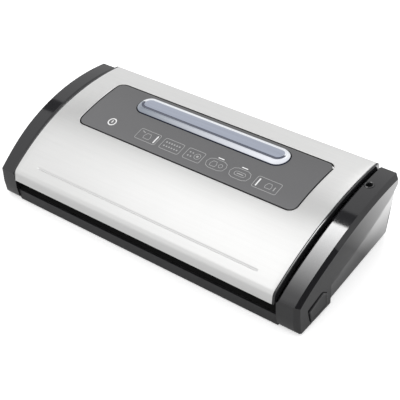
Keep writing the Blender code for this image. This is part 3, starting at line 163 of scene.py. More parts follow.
class CapSettings(bpy.types.PropertyGroup):
    """Sizes of the edges on the end caps, buttons and base."""

    cap_round: length("Cap rounding", "Rounding of the cap's edges", 0.6)
    corner_round: length("Corner rounding", "Rounding of the cap's outer front corner", 4.0)
    inner_chamfer: length("Inner chamfer", "Slope down to the gap beside the lid", 3.0)
    bow: length("Side bow", "Outward bow of the caps between front and rear", 3.8)
    button_round: length("Button rounding", "Rounding of the release buttons", 0.9)
    base_round: length("Base rounding", "Rounding of the lip and deck", 0.9)
    segments: IntProperty(name="Segments", description="Facets across a rounded edge", default=3)


class ColourSettings(bpy.types.PropertyGroup):
    """Colours of the finishes."""

    steel: tint("Steel", "Brushed steel", (0.74, 0.74, 0.735))
    black: tint("Black", "Moulded black plastic", (0.011, 0.011, 0.012))
    grey: tint("Panel", "Film of the control panel", (0.105, 0.105, 0.108))
    lens: tint("Window", "Tinted window", (0.31, 0.34, 0.42))
    # Painted light on the window: painted shade at the left end of its front bevel, and painted highlight
    # at the bevel's right end and on its rear rim
    painted_bevel_shade: tint("Window bevel", "Dim end of the window's front bevel", (0.25, 0.28, 0.33))
    painted_lens_highlight: tint("Window light", "Lit edges of the window", (0.82, 0.84, 0.9))
    # Painted shade: the dark line along the window's crease and round its foot
    painted_line_shade: tint("Window line", "Dark line in the window", (0.035, 0.045, 0.085))
    marks: tint("Marks", "Bright printed marks", (0.9, 0.9, 0.9))
    lines: tint("Lines", "Fine printed lines", (0.42, 0.42, 0.42))


class StageSettings(bpy.types.PropertyGroup):
    """Camera and light."""

    azimuth: number("Azimuth", "Camera angle round the object in degrees", 44.599)
    elevation: number("Elevation", "Camera angle over the floor in degrees", 39.663)
    roll: number("Roll", "Camera tilt about its own axis in degrees", -8.5)
    lens: number("Focal length", "Focal length in millimetres", 97.235)
    camera_place: FloatVectorProperty(name="Camera", description="Place of the camera", subtype="XYZ",
                                      default=(0.61465, -0.61089, 0.73106), unit="LENGTH")
    world: number("Surroundings", "Brightness of the surroundings", 0.95)


SETTINGS = {"lid": LidSettings, "panel": PanelSettings, "caps": CapSettings, "colours": ColourSettings,
            "stage": StageSettings}


def settings(group):
    return getattr(bpy.context.scene, "sealer_" + group)


def hue(name):
    return getattr(settings("colours"), name)


# ---- shader nodes ----
class Number:
    """A number socket of a finish that can stand in a sum."""

    def __init__(self, finish, socket):
        self.finish = finish
        self.socket = socket

    def sum(self, operation, first, second):
        node = self.finish.node("ShaderNodeMath", {"operation": operation}, {0: first, 1: second})
        return Number(self.finish, node.outputs[0])

    def __add__(self, other):
        return self.sum("ADD", self, other)

    def __radd__(self, other):
        return self.sum("ADD", other, self)

    def __sub__(self, other):
        return self.sum("SUBTRACT", self, other)

    def __mul__(self, other):
        return self.sum("MULTIPLY", self, other)

    def above(self, other):
        return self.sum("GREATER_THAN", self, other)


class Finish:
    """A material with its main shader and one way to add any other node."""

    def __init__(self, name, colour, roughness, **constants):
        self.material = bpy.data.materials.new(name)
        self.material.use_nodes = True
        self.tree = self.material.node_tree
        self.shader = self.tree.nodes["Principled BSDF"]
        self.set("Base Color", (*colour, 1.0))
        self.set("Roughness", roughness)
        for socket, value in constants.items():
            self.set(socket.replace("_", " "), value)
        self.material.diffuse_color = (*colour, 1.0)

    def set(self, socket, value):
        if isinstance(value, Number):
            value = value.socket
        target = self.shader.inputs[socket]
        if isinstance(value, bpy.types.NodeSocket):
            self.tree.links.new(value, target)
        else:
            target.default_value = value

    def node(self, kind, options=None, inputs=None):
        node = self.tree.nodes.new(kind)
        for option, value in (options or {}).items():
            setattr(node, option, value)
        for socket, value in (inputs or {}).items():
            value = value.socket if isinstance(value, Number) else value
            if isinstance(value, bpy.types.NodeSocket):
                self.tree.links.new(value, node.inputs[socket])
            else:
                node.inputs[socket].default_value = value
        return node

    def place(self, stretch=(1, 1, 1), turn=(0, 0, 0)):
        """Place on the object, stretched along its axes."""
        coordinates = self.node("ShaderNodeTexCoord")
        return self.node("ShaderNodeMapping", {}, {"Vector": coordinates.outputs["Object"],
                                                   "Scale": stretch, "Rotation": turn}).outputs[0]

    def axis(self, index):
        """Place along one axis of the object."""
        parts = self.node("ShaderNodeSeparateXYZ", {}, {0: self.place()})
        return Number(self, parts.outputs[index])

    def clamp(self, value):
        return Number(self, self.node("ShaderNodeClamp", {}, {0: value}).outputs[0])

    def noise(self, scale, stretch=(1, 1, 1), detail=2.0, roughness=0.5):
        node = self.node("ShaderNodeTexNoise", {}, {"Vector": self.place(stretch), "Scale": scale,
                                                    "Detail": detail, "Roughness": roughness})
        return Number(self, node.outputs[0])

    def cells(self, scale, feature="F1"):
        node = self.node("ShaderNodeTexVoronoi", {"feature": feature},
                         {"Vector": self.place(), "Scale": scale})
        return Number(self, node.outputs["Distance"])

    def bands(self, scale, direction="X"):
        node = self.node("ShaderNodeTexWave", {"bands_direction": direction},
                         {"Vector": self.place(), "Scale": scale})
        return Number(self, node.outputs["Fac"])

    def blend(self, mask, first, second):
        """Base colour between two colours by a mask."""
        node = self.node("ShaderNodeMix", {"data_type": "RGBA"},
                         {0: mask, 6: (*first, 1.0), 7: (*second, 1.0)})
        self.set("Base Color", node.outputs[2])

    def bump(self, height, distance, strength=1.0):
        node = self.node("ShaderNodeBump", {}, {"Height": height, "Distance": distance,
                                                "Strength": strength})
        self.set("Normal", node.outputs[0])

    def grade(self, mask, dark, light, roughness, tooth):
        """Colour, roughness (least and spread) and bump (depth in mm and strength) that follow one mask."""
        self.blend(mask, dark, light)
        self.set("Roughness", roughness[0] + mask * roughness[1])
        self.bump(mask, tooth[0] * MM, tooth[1])
        return self


def shade(colour, amount):
    """A colour made lighter or darker."""
    return tuple(min(1.0, part * amount) for part in colour)


def brushed_steel(name):
    colour = hue("steel")
    finish = Finish(name, colour, 0.3, Metallic=1.0)
    hairs = finish.noise(2600, (0.012, 1, 1), 3.0)
    streaks = finish.noise(260, (0.03, 1, 1), 2.0)
    smudges = finish.noise(14, detail=3.0)
    finish.blend(hairs * 0.6 + streaks * 0.4, shade(colour, 0.93), shade(colour, 1.06))
    finish.set("Roughness", 0.25 + hairs * 0.12 + smudges * 0.06)
    finish.bump(hairs + streaks * 0.5, 0.03 * MM, 0.35)
    return finish


def gloss_black(name):
    colour = hue("black")
    finish = Finish(name, colour, 0.05, IOR=1.52)
    peel = finish.noise(150, detail=1.0)
    dust = finish.noise(900, detail=4.0, roughness=0.7)
    finish.blend(dust, shade(colour, 0.8), shade(colour, 1.5))
    finish.set("Roughness", 0.05 + finish.noise(22, detail=3.0) * 0.06)
    finish.bump(peel, 0.04 * MM, 0.12)
    return finish


def moulded(name, colour, dark, light, tone, fine, roughness, tooth):
    """Moulded plastic or rubber: slow changes of tone under a fine grain."""
    least, spread = roughness
    finish = Finish(name, colour, least + spread / 2)
    grain = finish.noise(fine[0], detail=fine[1])
    finish.blend(finish.noise(tone[0], detail=tone[1]), dark, light)
    finish.set("Roughness", least + grain * spread)
    finish.bump(grain, tooth[0] * MM, tooth[1])
    return finish


def matt_black(name):
    colour = hue("black")
    return moulded(name, colour, shade(colour, 0.9), shade(colour, 1.5), (60, 3.0), (2200, 2.0),
                   (0.36, 0.2), (0.05, 0.5))


def deep_black(name):
    """Rough black of the deck, darker than the other black plastic as painted shade, for it is seen only
    down the slot at the front.
    """
    finish = Finish(name, (0.006, 0.006, 0.006), 0.8, Specular_IOR_Level=0.15)
    finish.blend(finish.noise(60, detail=3.0), (0.005, 0.005, 0.005), (0.009, 0.009, 0.009))
    finish.set("Roughness", 0.75 + finish.noise(900) * 0.2)
    return finish


def panel_film(name):
    colour = hue("grey")
    finish = Finish(name, colour, 0.3, IOR=1.5)
    grain = finish.noise(1800)
    # Painted light: the film's colour is mixed by place along Y, lighter towards the front and darker
    # towards the rear, as the light falls on it.
    depth = finish.clamp(finish.axis(1) * 14.0 + finish.noise(9) * 0.2)
    finish.blend(depth, shade(colour, 1.45), shade(colour, 0.9))
    finish.set("Roughness", 0.26 + grain * 0.1)
    finish.bump(grain, 0.02 * MM, 0.3)
    return finish


def window_plastic(name, colour, roughness, stripes):
    """Tinted window plastic, with long faint streaks along the window."""
    finish = Finish(name, colour, roughness, IOR=1.5, Coat_Weight=0.5, Coat_Roughness=0.05)
    streaks = finish.noise(stripes, (0.04, 1, 1), detail=3.0)
    finish.blend(streaks, shade(colour, 0.84), shade(colour, 1.16))
    finish.set("Roughness", roughness - 0.04 + streaks * 0.1)
    finish.bump(finish.noise(90, detail=1.0), 0.05 * MM, 0.15)
    return finish


def window_bevel(name):
    """Front bevel of the window with painted light: a painted shade at its left end that grows into a
    painted highlight towards its right end.
    """
    finish = window_plastic(name, hue("lens"), 0.15, 240)
    # Painted light: the colour runs from the painted shade at the left to the painted highlight at the
    # right.
    share = finish.clamp(finish.axis(0) * 6.0 + 0.5)
    finish.blend(share, hue("painted_bevel_shade"), hue("painted_lens_highlight"))
    return finish


def ink(name, colour):
    """Printed ink with a fine tooth."""
    finish = Finish(name, colour, 0.5)
    return finish.grade(finish.noise(1500), shade(colour, 0.94), shade(colour, 1.05), (0.42, 0.15),
                        (0.01, 0.3))


def foam(name):
    finish = Finish(name, (0.05, 0.05, 0.052), 0.95)
    return finish.grade(finish.cells(1500), (0.018, 0.018, 0.019), (0.085, 0.085, 0.088), (0.85, 0.12),
                        (0.25, 0.8))


def bare_metal(name, colour, roughness, stretch=(1, 1, 1)):
    """Plain metal with fine marks, drawn out along one axis where it is drawn or rolled."""
    finish = Finish(name, colour, roughness, Metallic=1.0)
    return finish.grade(finish.noise(1400, stretch, 3.0), shade(colour, 0.82), shade(colour, 1.12),
                        (roughness - 0.06, 0.14), (0.03, 0.4))


def coated_cloth(name):
    """Glass cloth with a slippery coating, as on a sealing bar."""
    finish = Finish(name, (0.3, 0.2, 0.12), 0.45)
    weave = finish.bands(900, "X") * 0.5 + finish.bands(900, "Y") * 0.5
    return finish.grade(weave, (0.2, 0.13, 0.075), (0.4, 0.28, 0.17), (0.36, 0.16), (0.05, 0.5))


def circuit_board(name):
    finish = Finish(name, (0.02, 0.16, 0.07), 0.4)
    tracks = finish.cells(140, "DISTANCE_TO_EDGE").above(0.12)
    return finish.grade(tracks, (0.05, 0.3, 0.12), (0.012, 0.12, 0.05), (0.32, 0.14), (0.04, 0.4))


def clear_hose(name):
    finish = Finish(name, (0.7, 0.73, 0.73), 0.25)
    return finish.grade(finish.noise(120), (0.6, 0.63, 0.63), (0.78, 0.8, 0.8), (0.18, 0.16), (0.05, 0.3))


def lamination(name):
    """Stacked iron sheets with a coil between them."""
    finish = Finish(name, (0.2, 0.17, 0.15), 0.55, Metallic=0.3)
    return finish.grade(finish.bands(320, "X"), (0.1, 0.085, 0.075), (0.27, 0.24, 0.21), (0.48, 0.15),
                        (0.1, 0.6))


def floor_paint(name):
    """Pale floor, a little lit from below."""
    finish = Finish(name, (0.86, 0.86, 0.86), 0.7, Emission_Color=(0.5, 0.5, 0.5, 1.0),
                    Emission_Strength=1.0)
    grain = finish.noise(60, detail=3.0)
    finish.blend(grain, (0.84, 0.84, 0.84), (0.88, 0.88, 0.88))
    finish.set("Roughness", 0.62 + grain * 0.12)
    return finish


def bounce_paint(name):
    """Greyer copy of the floor that the object mirrors: painted shade in its grey, and a painted glow at
    the right rear.
    """
    finish = Finish(name, (0.6, 0.6, 0.6), 0.7, Emission_Strength=1.0)
    # Painted glow: the floor glows strongly at the right rear, standing in for a pool of light, and only
    # faintly elsewhere.
    share = finish.clamp(finish.axis(0) * 8.0 - 0.4) * finish.clamp(finish.axis(1) * 10.0 - 0.35)
    painted_glow = finish.node("ShaderNodeMix", {"data_type": "RGBA"},
                       {0: share, 6: (0.1, 0.1, 0.1, 1.0), 7: (2.3, 2.3, 2.3, 1.0)})
    finish.set("Emission Color", painted_glow.outputs[2])
    finish.blend(finish.noise(60, detail=3.0), (0.58, 0.58, 0.58), (0.62, 0.62, 0.62))
    return finish


def card_cloth(name):
    """Black cloth of the cards that shade the gloss."""
    finish = Finish(name, (0.004, 0.004, 0.004), 0.95)
    finish.blend(finish.noise(300), (0.003, 0.003, 0.003), (0.005, 0.005, 0.005))
    return finish


FINISHES = {
    "steel": brushed_steel, "gloss_black": gloss_black, "matt_black": matt_black,
    "deep_black": deep_black, "panel": panel_film, "foam": foam, "ptfe": coated_cloth,
    "board": circuit_board, "hose": clear_hose, "lamination": lamination, "floor": floor_paint,
    "bounce": bounce_paint, "card": card_cloth, "window_bevel": window_bevel,
    "rubber": lambda name: moulded(name, (0.022, 0.022, 0.022), (0.015, 0.015, 0.015),
        (0.032, 0.031, 0.03), (40, 2.0), (1600, 3.0), (0.68, 0.2), (0.06, 0.5)),
    "silicone": lambda name: moulded(name, (0.1, 0.1, 0.105), (0.08, 0.08, 0.085),
        (0.13, 0.13, 0.135), (30, 2.0), (900, 2.0), (0.48, 0.15), (0.03, 0.4)),
    "white_plastic": lambda name: moulded(name, (0.74, 0.73, 0.7), (0.7, 0.69, 0.66),
        (0.78, 0.77, 0.74), (35, 2.0), (1200, 2.0), (0.34, 0.14), (0.03, 0.3)),
    "zinc": lambda name: bare_metal(name, (0.6, 0.61, 0.63), 0.38),
    "brass": lambda name: bare_metal(name, (0.72, 0.54, 0.26), 0.28),
    "heater": lambda name: bare_metal(name, (0.6, 0.57, 0.5), 0.32, (0.03, 1, 1)),
    "window": lambda name: window_plastic(name, hue("lens"), 0.2, 330),
    # Painted highlight for the window's rear rim, and painted shade for its dark line
    "window_rim": lambda name: window_plastic(name, hue("painted_lens_highlight"), 0.15, 240),
    "window_line": lambda name: window_plastic(name, hue("painted_line_shade"), 0.2, 60),
    "bright_print": lambda name: ink(name, hue("marks")),
    "fine_print": lambda name: ink(name, hue("lines")),
}


def material(name):
    """The material of a finish, made the first time that it is asked for."""
    full_name = "sealer_" + name
    return bpy.data.materials.get(full_name) or FINISHES[name](full_name).material


# ---- pieces ----
def place_piece(name, bm, body, slots, replaced=(), smooth=35.0, weighted=False):
    """Make an object of a finished bmesh, with its finishes, on its body."""
    mesh = mesh_of(bm, name)
    old = mesh.attributes.get("custom_normal")
    if old:
        mesh.attributes.remove(old)
    for slot in slots:
        mesh.materials.append(material(slot))
    mesh.shade_smooth()
    mesh.set_sharp_from_angle(angle=math.radians(smooth))
    obj = bpy.data.objects.new(name, mesh)
    bpy.context.scene.collection.objects.link(obj)
    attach(obj, body)
    if slots[0] == "gloss_black":
        bpy.data.collections[GLOSSY].objects.link(obj)
    if replaced:
        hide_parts(*replaced)
    if weighted:
        obj.modifiers.new("flat faces", "WEIGHTED_NORMAL").keep_sharp = True
    return obj


def mesh_of(bm, name):
    mesh = bpy.data.meshes.new(name)
    bm.to_mesh(mesh)
    bm.free()
    return mesh


def round_edges(bm, edges, width, steps):
    bmesh.ops.bevel(bm, geom=edges, offset=width, offset_type="OFFSET", segments=steps, profile=0.5,
                    affect="EDGES", clamp_overlap=True, material=-1)


def soften(name, node, body, slot, width, steps=3, first=(), shape=None):
    """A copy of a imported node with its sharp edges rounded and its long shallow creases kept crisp."""
    bm = bmesh.new()
    bm.from_mesh(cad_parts[node].data)
    bmesh.ops.remove_doubles(bm, verts=bm.verts, dist=WELD)
    bmesh.ops.dissolve_limit(bm, angle_limit=math.radians(0.6), verts=bm.verts, edges=bm.edges)
    for chosen, offset, facets in first:
        edges = [edge for edge in bm.edges if chosen(edge) and edge.calc_face_angle(0) > SHARP]
        if not edges:
            raise ValueError("no edges to round on " + node)
        round_edges(bm, edges, offset, facets)
    round_edges(bm, [edge for edge in bm.edges if edge.calc_face_angle(0) > SHARP], width, steps)
    least, most, reach = CREASE
    for edge in bm.edges:
        if edge.calc_length() > reach and least < edge.calc_face_angle(0) < most:
            edge.smooth = False
    if shape:
        low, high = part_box(node)
        for place in span(LID_LOW.y + ARC_INSET, LID_HIGH.y - ARC_INSET, ARC_STEPS):
            cut_flat(bm, 1, place)
        for place in span(low.z, high.z, CAP_CUTS)[1:-1]:
            cut_flat(bm, 2, place, [face for face in bm.faces if abs(face.normal.x) > 0.5])
        for vert in bm.verts:
            vert.co += shape(vert.co)
    return place_piece(name, bm, body, (slot,), (node,), weighted=True)


def turned(points, place, steps=48):
    """A closed profile of (radius, height) turned about an upright axis."""
    bm = bmesh.new()
    place = Vector(place)
    verts = [bm.verts.new(place + Vector((radius, 0, height))) for radius, height in points]
    edges = [bm.edges.new(pair) for pair in zip(verts, verts[1:])]
    bmesh.ops.spin(bm, geom=verts + edges, cent=place, axis=(0, 0, 1), angle=2 * math.pi, steps=steps,
                   use_merge=True)
    bmesh.ops.remove_doubles(bm, verts=bm.verts, dist=0.005 * MM)
    bmesh.ops.recalc_face_normals(bm, faces=bm.faces)
    return bm


# ---- flat sheets laid along the lid ----
def span(start, end, steps):
    """Evenly spaced values from start to end, both included."""
    return [start + (end - start) * i / steps for i in range(steps + 1)]


def eased(start, corner, end, steps=8):
    """Points of a smooth bend that replaces a corner."""
    return [start.lerp(corner, t).lerp(corner.lerp(end, t), t) for t in span(0.0, 1.0, steps)]


def bow(y, depth):
    """Outward bow of the ends at a place, none at the front and rear edges."""
    share = 2 * (y - LID_LOW.y) / (LID_HIGH.y - LID_LOW.y) - 1
    return depth * max(0.0, 1 - share * share)


def ramp(value, low, high):
    """0 below low, 1 above high, smooth between."""
    share = min(1.0, max(0.0, (value - low) / (high - low)))
    return share * share * (3 - 2 * share)


class Bend:
    """The lid's side view as a path from its front edge to its rear skirt."""

    def __init__(self):
        sizes = settings("lid")
        low, high = LID_LOW, LID_HIGH
        self.half = high.x
        self.front, self.rear = low.y, high.y
        bend = Vector((low.y + sizes.band_lean, low.z + sizes.band_rise))
        crown_y = high.y - sizes.crown_setback
        rise, run = high.z - bend.y, crown_y - bend.x
        self.radius = (rise ** 2 + run ** 2) / (2 * rise)
        self.crown = Vector((crown_y, high.z))
        edge = Vector((low.y, low.z))
        rear_top = self.on_arc(high.y)
        skirt = Vector((high.y, sizes.skirt))
        back = bend + (edge - bend).normalized() * sizes.bend_reach
        ahead = self.on_arc(bend.x + sizes.bend_reach)
        before = self.on_arc(high.y - sizes.rear_reach)
        after = rear_top - Vector((0, sizes.rear_reach))
        path = [edge, *eased(back, bend, ahead), *map(self.on_arc, span(ahead.x, before.x, 54)[1:-1]),
                *eased(before, rear_top, after), skirt]
        self.points = path
        self.lengths = [0.0]
        for first, second in zip(path, path[1:]):
            self.lengths.append(self.lengths[-1] + (second - first).length)
        self.normals = [self.normal_at(i) for i in range(len(path))]

    def on_arc(self, y):
        run = y - self.crown.x
        return Vector((y, self.crown.y - self.radius + math.sqrt(self.radius ** 2 - run ** 2)))

    def normal_at(self, i):
        before, after = self.points[max(i - 1, 0)], self.points[min(i + 1, len(self.points) - 1)]
        run = (after - before).normalized()
        return Vector((-run.y, run.x))

    def along(self, y):
        """Distance along the sheet to the place over y on the domed part."""
        for i in range(1, len(self.points) - 2):
            first, second = self.points[i], self.points[i + 1]
            if first.x <= y <= second.x:
                share = (y - first.x) / (second.x - first.x)
                return self.lengths[i] + share * (self.lengths[i + 1] - self.lengths[i])
        raise ValueError("no place on the lid over y " + str(y))

    def lay(self, flat):
        """Place on the bent lid of a flat point: across, along and height over the sheet."""
        i = min(max(bisect.bisect_right(self.lengths, flat.y) - 1, 0), len(self.points) - 2)
        share = (flat.y - self.lengths[i]) / (self.lengths[i + 1] - self.lengths[i])
        point = self.points[i].lerp(self.points[i + 1], share)
        normal = self.normals[i].lerp(self.normals[i + 1], share).normalized()
        return Vector((flat.x, point.x + normal.x * flat.z, point.y + normal.y * flat.z))

    def wrap(self, bm):
        """Slice a flat mesh at the path's own points and lay it along them."""
        low = min(vert.co.y for vert in bm.verts)
        high = max(vert.co.y for vert in bm.verts)
        for length_there in self.lengths:
            if low < length_there < high:
                cut_flat(bm, 1, length_there)
        depth = settings("lid").bow
        for vert in bm.verts:
            vert.co = self.lay(vert.co)
            ends = ramp(abs(vert.co.x), self.half - LID_BOW_REACH, self.half)
            vert.co.x += math.copysign(ends * bow(vert.co.y, depth), vert.co.x)


def cut_flat(bm, axis, place, faces=None):
    """Cut a mesh, or some of its faces, in two across an axis and keep both sides."""
    normal = [0, 0, 0]
    normal[axis] = 1
    if faces is None:
        cut = bm.verts[:] + bm.edges[:] + bm.faces[:]
    else:
        cut = [*dict.fromkeys(vert for face in faces for vert in face.verts),
               *dict.fromkeys(edge for face in faces for edge in face.edges), *faces]
    bmesh.ops.bisect_plane(bm, geom=cut, dist=0.001 * MM,
                           plane_co=Vector(normal) * place, plane_no=normal)


def rounded_ring(x_low, x_high, y_low, y_high, radius, steps=8):
    """Outline of a rectangle with round corners, anticlockwise."""
    ring = []
    corners = ((x_high, y_high, 0), (x_low, y_high, 90), (x_low, y_low, 180), (x_high, y_low, 270))
    for x, y, start in corners:
        centre = Vector((x - radius if x == x_high else x + radius,
                         y - radius if y == y_high else y + radius))
        for i in range(steps + 1):
            angle = math.radians(start + 90 * i / steps)
            ring.append(centre + radius * Vector((math.cos(angle), math.sin(angle))))
    return ring


def add_loop(bm, ring, height):
    verts = [bm.verts.new((*point, height)) for point in ring]
    return [bm.edges.new(pair) for pair in zip(verts, verts[1:] + verts[:1])]


def step_loop(bm, loop, ring, height):
    """Bridge a loop to a new one of as many points."""
    new = add_loop(bm, ring, height)
    bmesh.ops.bridge_loops(bm, edges=loop + new)
    return new


def fill(bm, *loops):
    bmesh.ops.triangle_fill(bm, edges=[edge for loop in loops for edge in loop], use_beauty=True)


def face_up(bm):
    """Turn an open flat sheet's faces upwards."""
    bmesh.ops.recalc_face_normals(bm, faces=bm.faces)
    if sum(face.normal.z * face.calc_area() for face in bm.faces) < 0:
        bmesh.ops.reverse_faces(bm, faces=bm.faces)


def face_out(bm):
    """Turn a closed shape's faces outwards."""
    bmesh.ops.recalc_face_normals(bm, faces=bm.faces)
    if bm.calc_volume(signed=True) < 0:
        bmesh.ops.reverse_faces(bm, faces=bm.faces)


class PanelPlan:
    """Outlines of the control panel and its window on the flat sheet."""

    def __init__(self):
        bend = self.bend = Bend()
        self.corner = settings("panel").corner
        low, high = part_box("control_panel")
        self.low = Vector((low.x, bend.along(low.y)))
        self.high = Vector((high.x, bend.along(high.y)))
        lens_low, lens_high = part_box("window_lens")
        self.lens_low = Vector((lens_low.x, bend.along(lens_low.y + FIT)))
        self.lens_high = Vector((lens_high.x, bend.along(lens_high.y - FIT)))

    def panel(self, grow):
        return rounded_ring(self.low.x - grow, self.high.x + grow, self.low.y - grow, self.high.y + grow,
                            self.corner + grow)

    def window(self, grow, front=0.0, rear=0.0, side=0.0):
        low, high = self.lens_low, self.lens_high
        deep = (high.y - low.y) / 2 + grow - (front + rear) / 2
        return rounded_ring(low.x - grow + side, high.x + grow - side, low.y - grow + front,
                            high.y + grow - rear, deep - 0.2 * MM, 10)


class SEALER_OT_lid_steel(bpy.types.Operator):
    """The steel sheet with its pressed line and the rolled rim of its opening"""

    bl_idname = "sealer.lid_steel"
    bl_label = "Steel lid"

    def execute(self, context):
        sizes = settings("lid")
        plan = PanelPlan()
        bend = plan.bend
        end = bend.lengths[-1]
        bm = bmesh.new()
        outer = add_loop(bm, [Vector(p) for p in ((-bend.half, 0), (bend.half, 0), (bend.half, end),
                                                  (-bend.half, end))], 0)
        border = add_loop(bm, plan.panel(FIT + sizes.rim + sizes.rim_border), 0)
        fill(bm, outer, border)
        opening = add_loop(bm, plan.panel(FIT + sizes.rim), 0)
        fill(bm, border, opening)
        for angle in span(0, math.pi / 2, RIM_STEPS)[1:]:
            opening = step_loop(bm, opening, plan.panel(FIT + sizes.rim * (1 - math.sin(angle))),
                                -sizes.rim * (1 - math.cos(angle)))
        face_up(bm)
        middle = bend.along(bend.front + sizes.groove_y)
        reach = sizes.groove_width / 2
        for offset in span(-reach, reach, GROOVE_STEPS):
            cut_flat(bm, 1, middle + offset)
        for sign in (-1, 1):
            for inset in span(0, 2 * reach, 3):
                cut_flat(bm, 0, sign * (sizes.groove_half - inset))
        for vert in bm.verts:
            press = groove(vert.co.y - middle, reach) * groove_end(vert.co.x, sizes.groove_half, 2 * reach)
            vert.co.z -= sizes.groove_depth * press
        bend.wrap(bm)
        skin = place_piece("steel_skin", bm, "lid", ("steel",), ("lid_skin",), 30)
        wall = skin.modifiers.new("sheet", "SOLIDIFY")
        wall.thickness = sizes.wall
        wall.offset = -1
        wall.use_even_offset = True
        wall.use_quality_normals = True
        skin.modifiers.new("flat faces", "WEIGHTED_NORMAL").keep_sharp = True
        return {"FINISHED"}


def groove(offset, reach):
    """Depth share of the pressed line across its width."""
    return 0.5 + 0.5 * math.cos(math.pi * offset / reach) if abs(offset) < reach else 0.0


def groove_end(x, half, run):
    """Depth share of the pressed line near its ends."""
    return min(1.0, max(0.0, (half - abs(x)) / run))


class SEALER_OT_lid_trims(bpy.types.Operator):
    """Black end walls of the lid, which follow the bend of the steel"""

    bl_idname = "sealer.lid_trims"
    bl_label = "Lid trims"

    def execute(self, context):
        bend = Bend()
        width = settings("lid").trim_round
        for side, sign in SIDES:
            node = "lid_end_trim_" + side
            low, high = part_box(node)
            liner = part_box("lid_liner")
            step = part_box("lower_gasket")[1].y + TRIM_STEP_GAP
            lower = [Vector((liner[1].y, low.z + TRIM_REAR_RISE)),
                     Vector((step + TRIM_STEP_RUN, liner[1].z - TRIM_STEP_DROP)), Vector((step, low.z))]
            bm = bmesh.new()
            ring = [Vector((low.x, point.x, point.y)) for point in bend.points + lower]
            verts = [bm.verts.new(point) for point in ring]
            edges = [bm.edges.new(pair) for pair in zip(verts, verts[1:] + verts[:1])]
            face = bmesh.ops.contextual_create(bm, geom=edges)["faces"]
            moved = bmesh.ops.extrude_face_region(bm, geom=face, use_keep_orig=True)["geom"]
            bmesh.ops.translate(bm, verts=[v for v in moved if isinstance(v, bmesh.types.BMVert)],
                                vec=(high.x - low.x, 0, 0))
            bmesh.ops.recalc_face_normals(bm, faces=bm.faces)
            rims = [edge for edge in bm.edges if edge.calc_face_angle(0) > math.radians(60)
                    and abs(edge.verts[0].co.x - edge.verts[1].co.x) < FIT]
            round_edges(bm, rims, width, 3)
            for place in span(bend.front, bend.rear, 18)[1:-1]:
                cut_flat(bm, 1, place)
            for vert in bm.verts:
                vert.co.x += sign * bow(vert.co.y, settings("lid").bow)
            place_piece("end_trim_" + side, bm, "lid", ("gloss_black",), (node,), 40, True)
        return {"FINISHED"}


class SEALER_OT_control_panel(bpy.types.Operator):
    """The dark film of the control panel with a rounded edge, open where the window stands"""

    bl_idname = "sealer.control_panel"
    bl_label = "Control panel"

    def execute(self, context):
        plan = PanelPlan()
        bend = plan.bend
        face = -settings("panel").recess
        foot = face - FILM_DEEP * MM
        bm = bmesh.new()
        gap = settings("panel").gap
        outer = add_loop(bm, plan.panel(-gap - 0.4 * MM), face)
        inner = add_loop(bm, plan.window(gap), face)
        fill(bm, outer, inner)
        for grow, drop in FILM_STEPS:
            outer = step_loop(bm, outer, plan.panel(grow * MM - gap), face - drop * MM)
        inner = step_loop(bm, inner, plan.window(gap), foot)
        fill(bm, outer, inner)
        face_out(bm)
        bend.wrap(bm)
        place_piece("panel_film", bm, "lid", ("panel",), ("control_panel",), 30, True)
        return {"FINISHED"}


class SEALER_OT_window(bpy.types.Operator):
    """The raised window: a front bevel with a painted gradient of light, a dark line of painted shade along
    its crease and round its foot, and a top with a rear rim of painted highlight
    """

    bl_idname = "sealer.window"
    bl_label = "Window"

    def execute(self, context):
        sizes = settings("panel")
        plan = PanelPlan()
        bend = plan.bend
        top = sizes.lens_rise
        bevel = Vector((sizes.lens_front, sizes.lens_rear, sizes.lens_side))
        bm = bmesh.new()
        loop = add_loop(bm, plan.window(0), -1.4 * MM)
        fill(bm, loop)
        for inset, rise in WINDOW_FOOT:
            loop = step_loop(bm, loop, plan.window(-inset * MM), rise * MM)
        for share in (0.35, 0.7, 0.95):
            height = rise * MM + (top - rise * MM) * math.sin(share * math.pi / 2)
            loop = step_loop(bm, loop, plan.window(-inset * MM, *(share * bevel)), height)
        sides = set(bm.faces)
        line, rim = set(), set()
        for inset, drop in WINDOW_RINGS:
            known = set(bm.faces)
            loop = step_loop(bm, loop, plan.window(-inset * MM, *bevel), top - drop * MM)
            line |= set(bm.faces) - known
            if inset < PAINTED_HIGHLIGHT_INSET:
                rim |= set(bm.faces) - known
        inset, rise = WINDOW_CROWN
        loop = step_loop(bm, loop, plan.window(-inset * MM, *bevel), top + rise * MM)
        fill(bm, loop)
        face_out(bm)
        middle = (plan.lens_low.y + plan.lens_high.y) / 2
        # Painted light on the window: at the front, the line rings and the low side walls get a dark line
        # of painted shade; at the rear, the rings near the rim and the raised sides get a painted
        # highlight; the raised front sides get the bevel's painted gradient.
        for face in bm.faces:
            place = face.calc_center_median()
            rear = place.y > middle + 2.0 * MM
            if face in line:
                face.material_index = WINDOW_PAINTED_SHADE if not rear else WINDOW_PAINTED_HIGHLIGHT if face in rim else 0
            elif face in sides:
                lit = WINDOW_PAINTED_HIGHLIGHT if rear else WINDOW_BEVEL
                face.material_index = lit if place.z > 0.5 * MM else WINDOW_PAINTED_SHADE
        bend.wrap(bm)
        place_piece("window_bar", bm, "lid", ("window", "window_line", "window_bevel", "window_rim"),
                    ("window_lens",), 32)
        return {"FINISHED"}


# ---- touch icons ----
def band(bm, ring, width):
    """A flat printed line inside a closed outline."""
    edges = add_loop(bm, ring, 0)
    faces = bmesh.ops.contextual_create(bm, geom=edges)["faces"]
    bmesh.ops.inset_region(bm, faces=faces, thickness=width, use_even_offset=True, use_boundary=True)
    bmesh.ops.delete(bm, geom=faces, context="FACES")


def patch(bm, ring):
    """A flat printed area."""
    bmesh.ops.contextual_create(bm, geom=add_loop(bm, ring, 0))


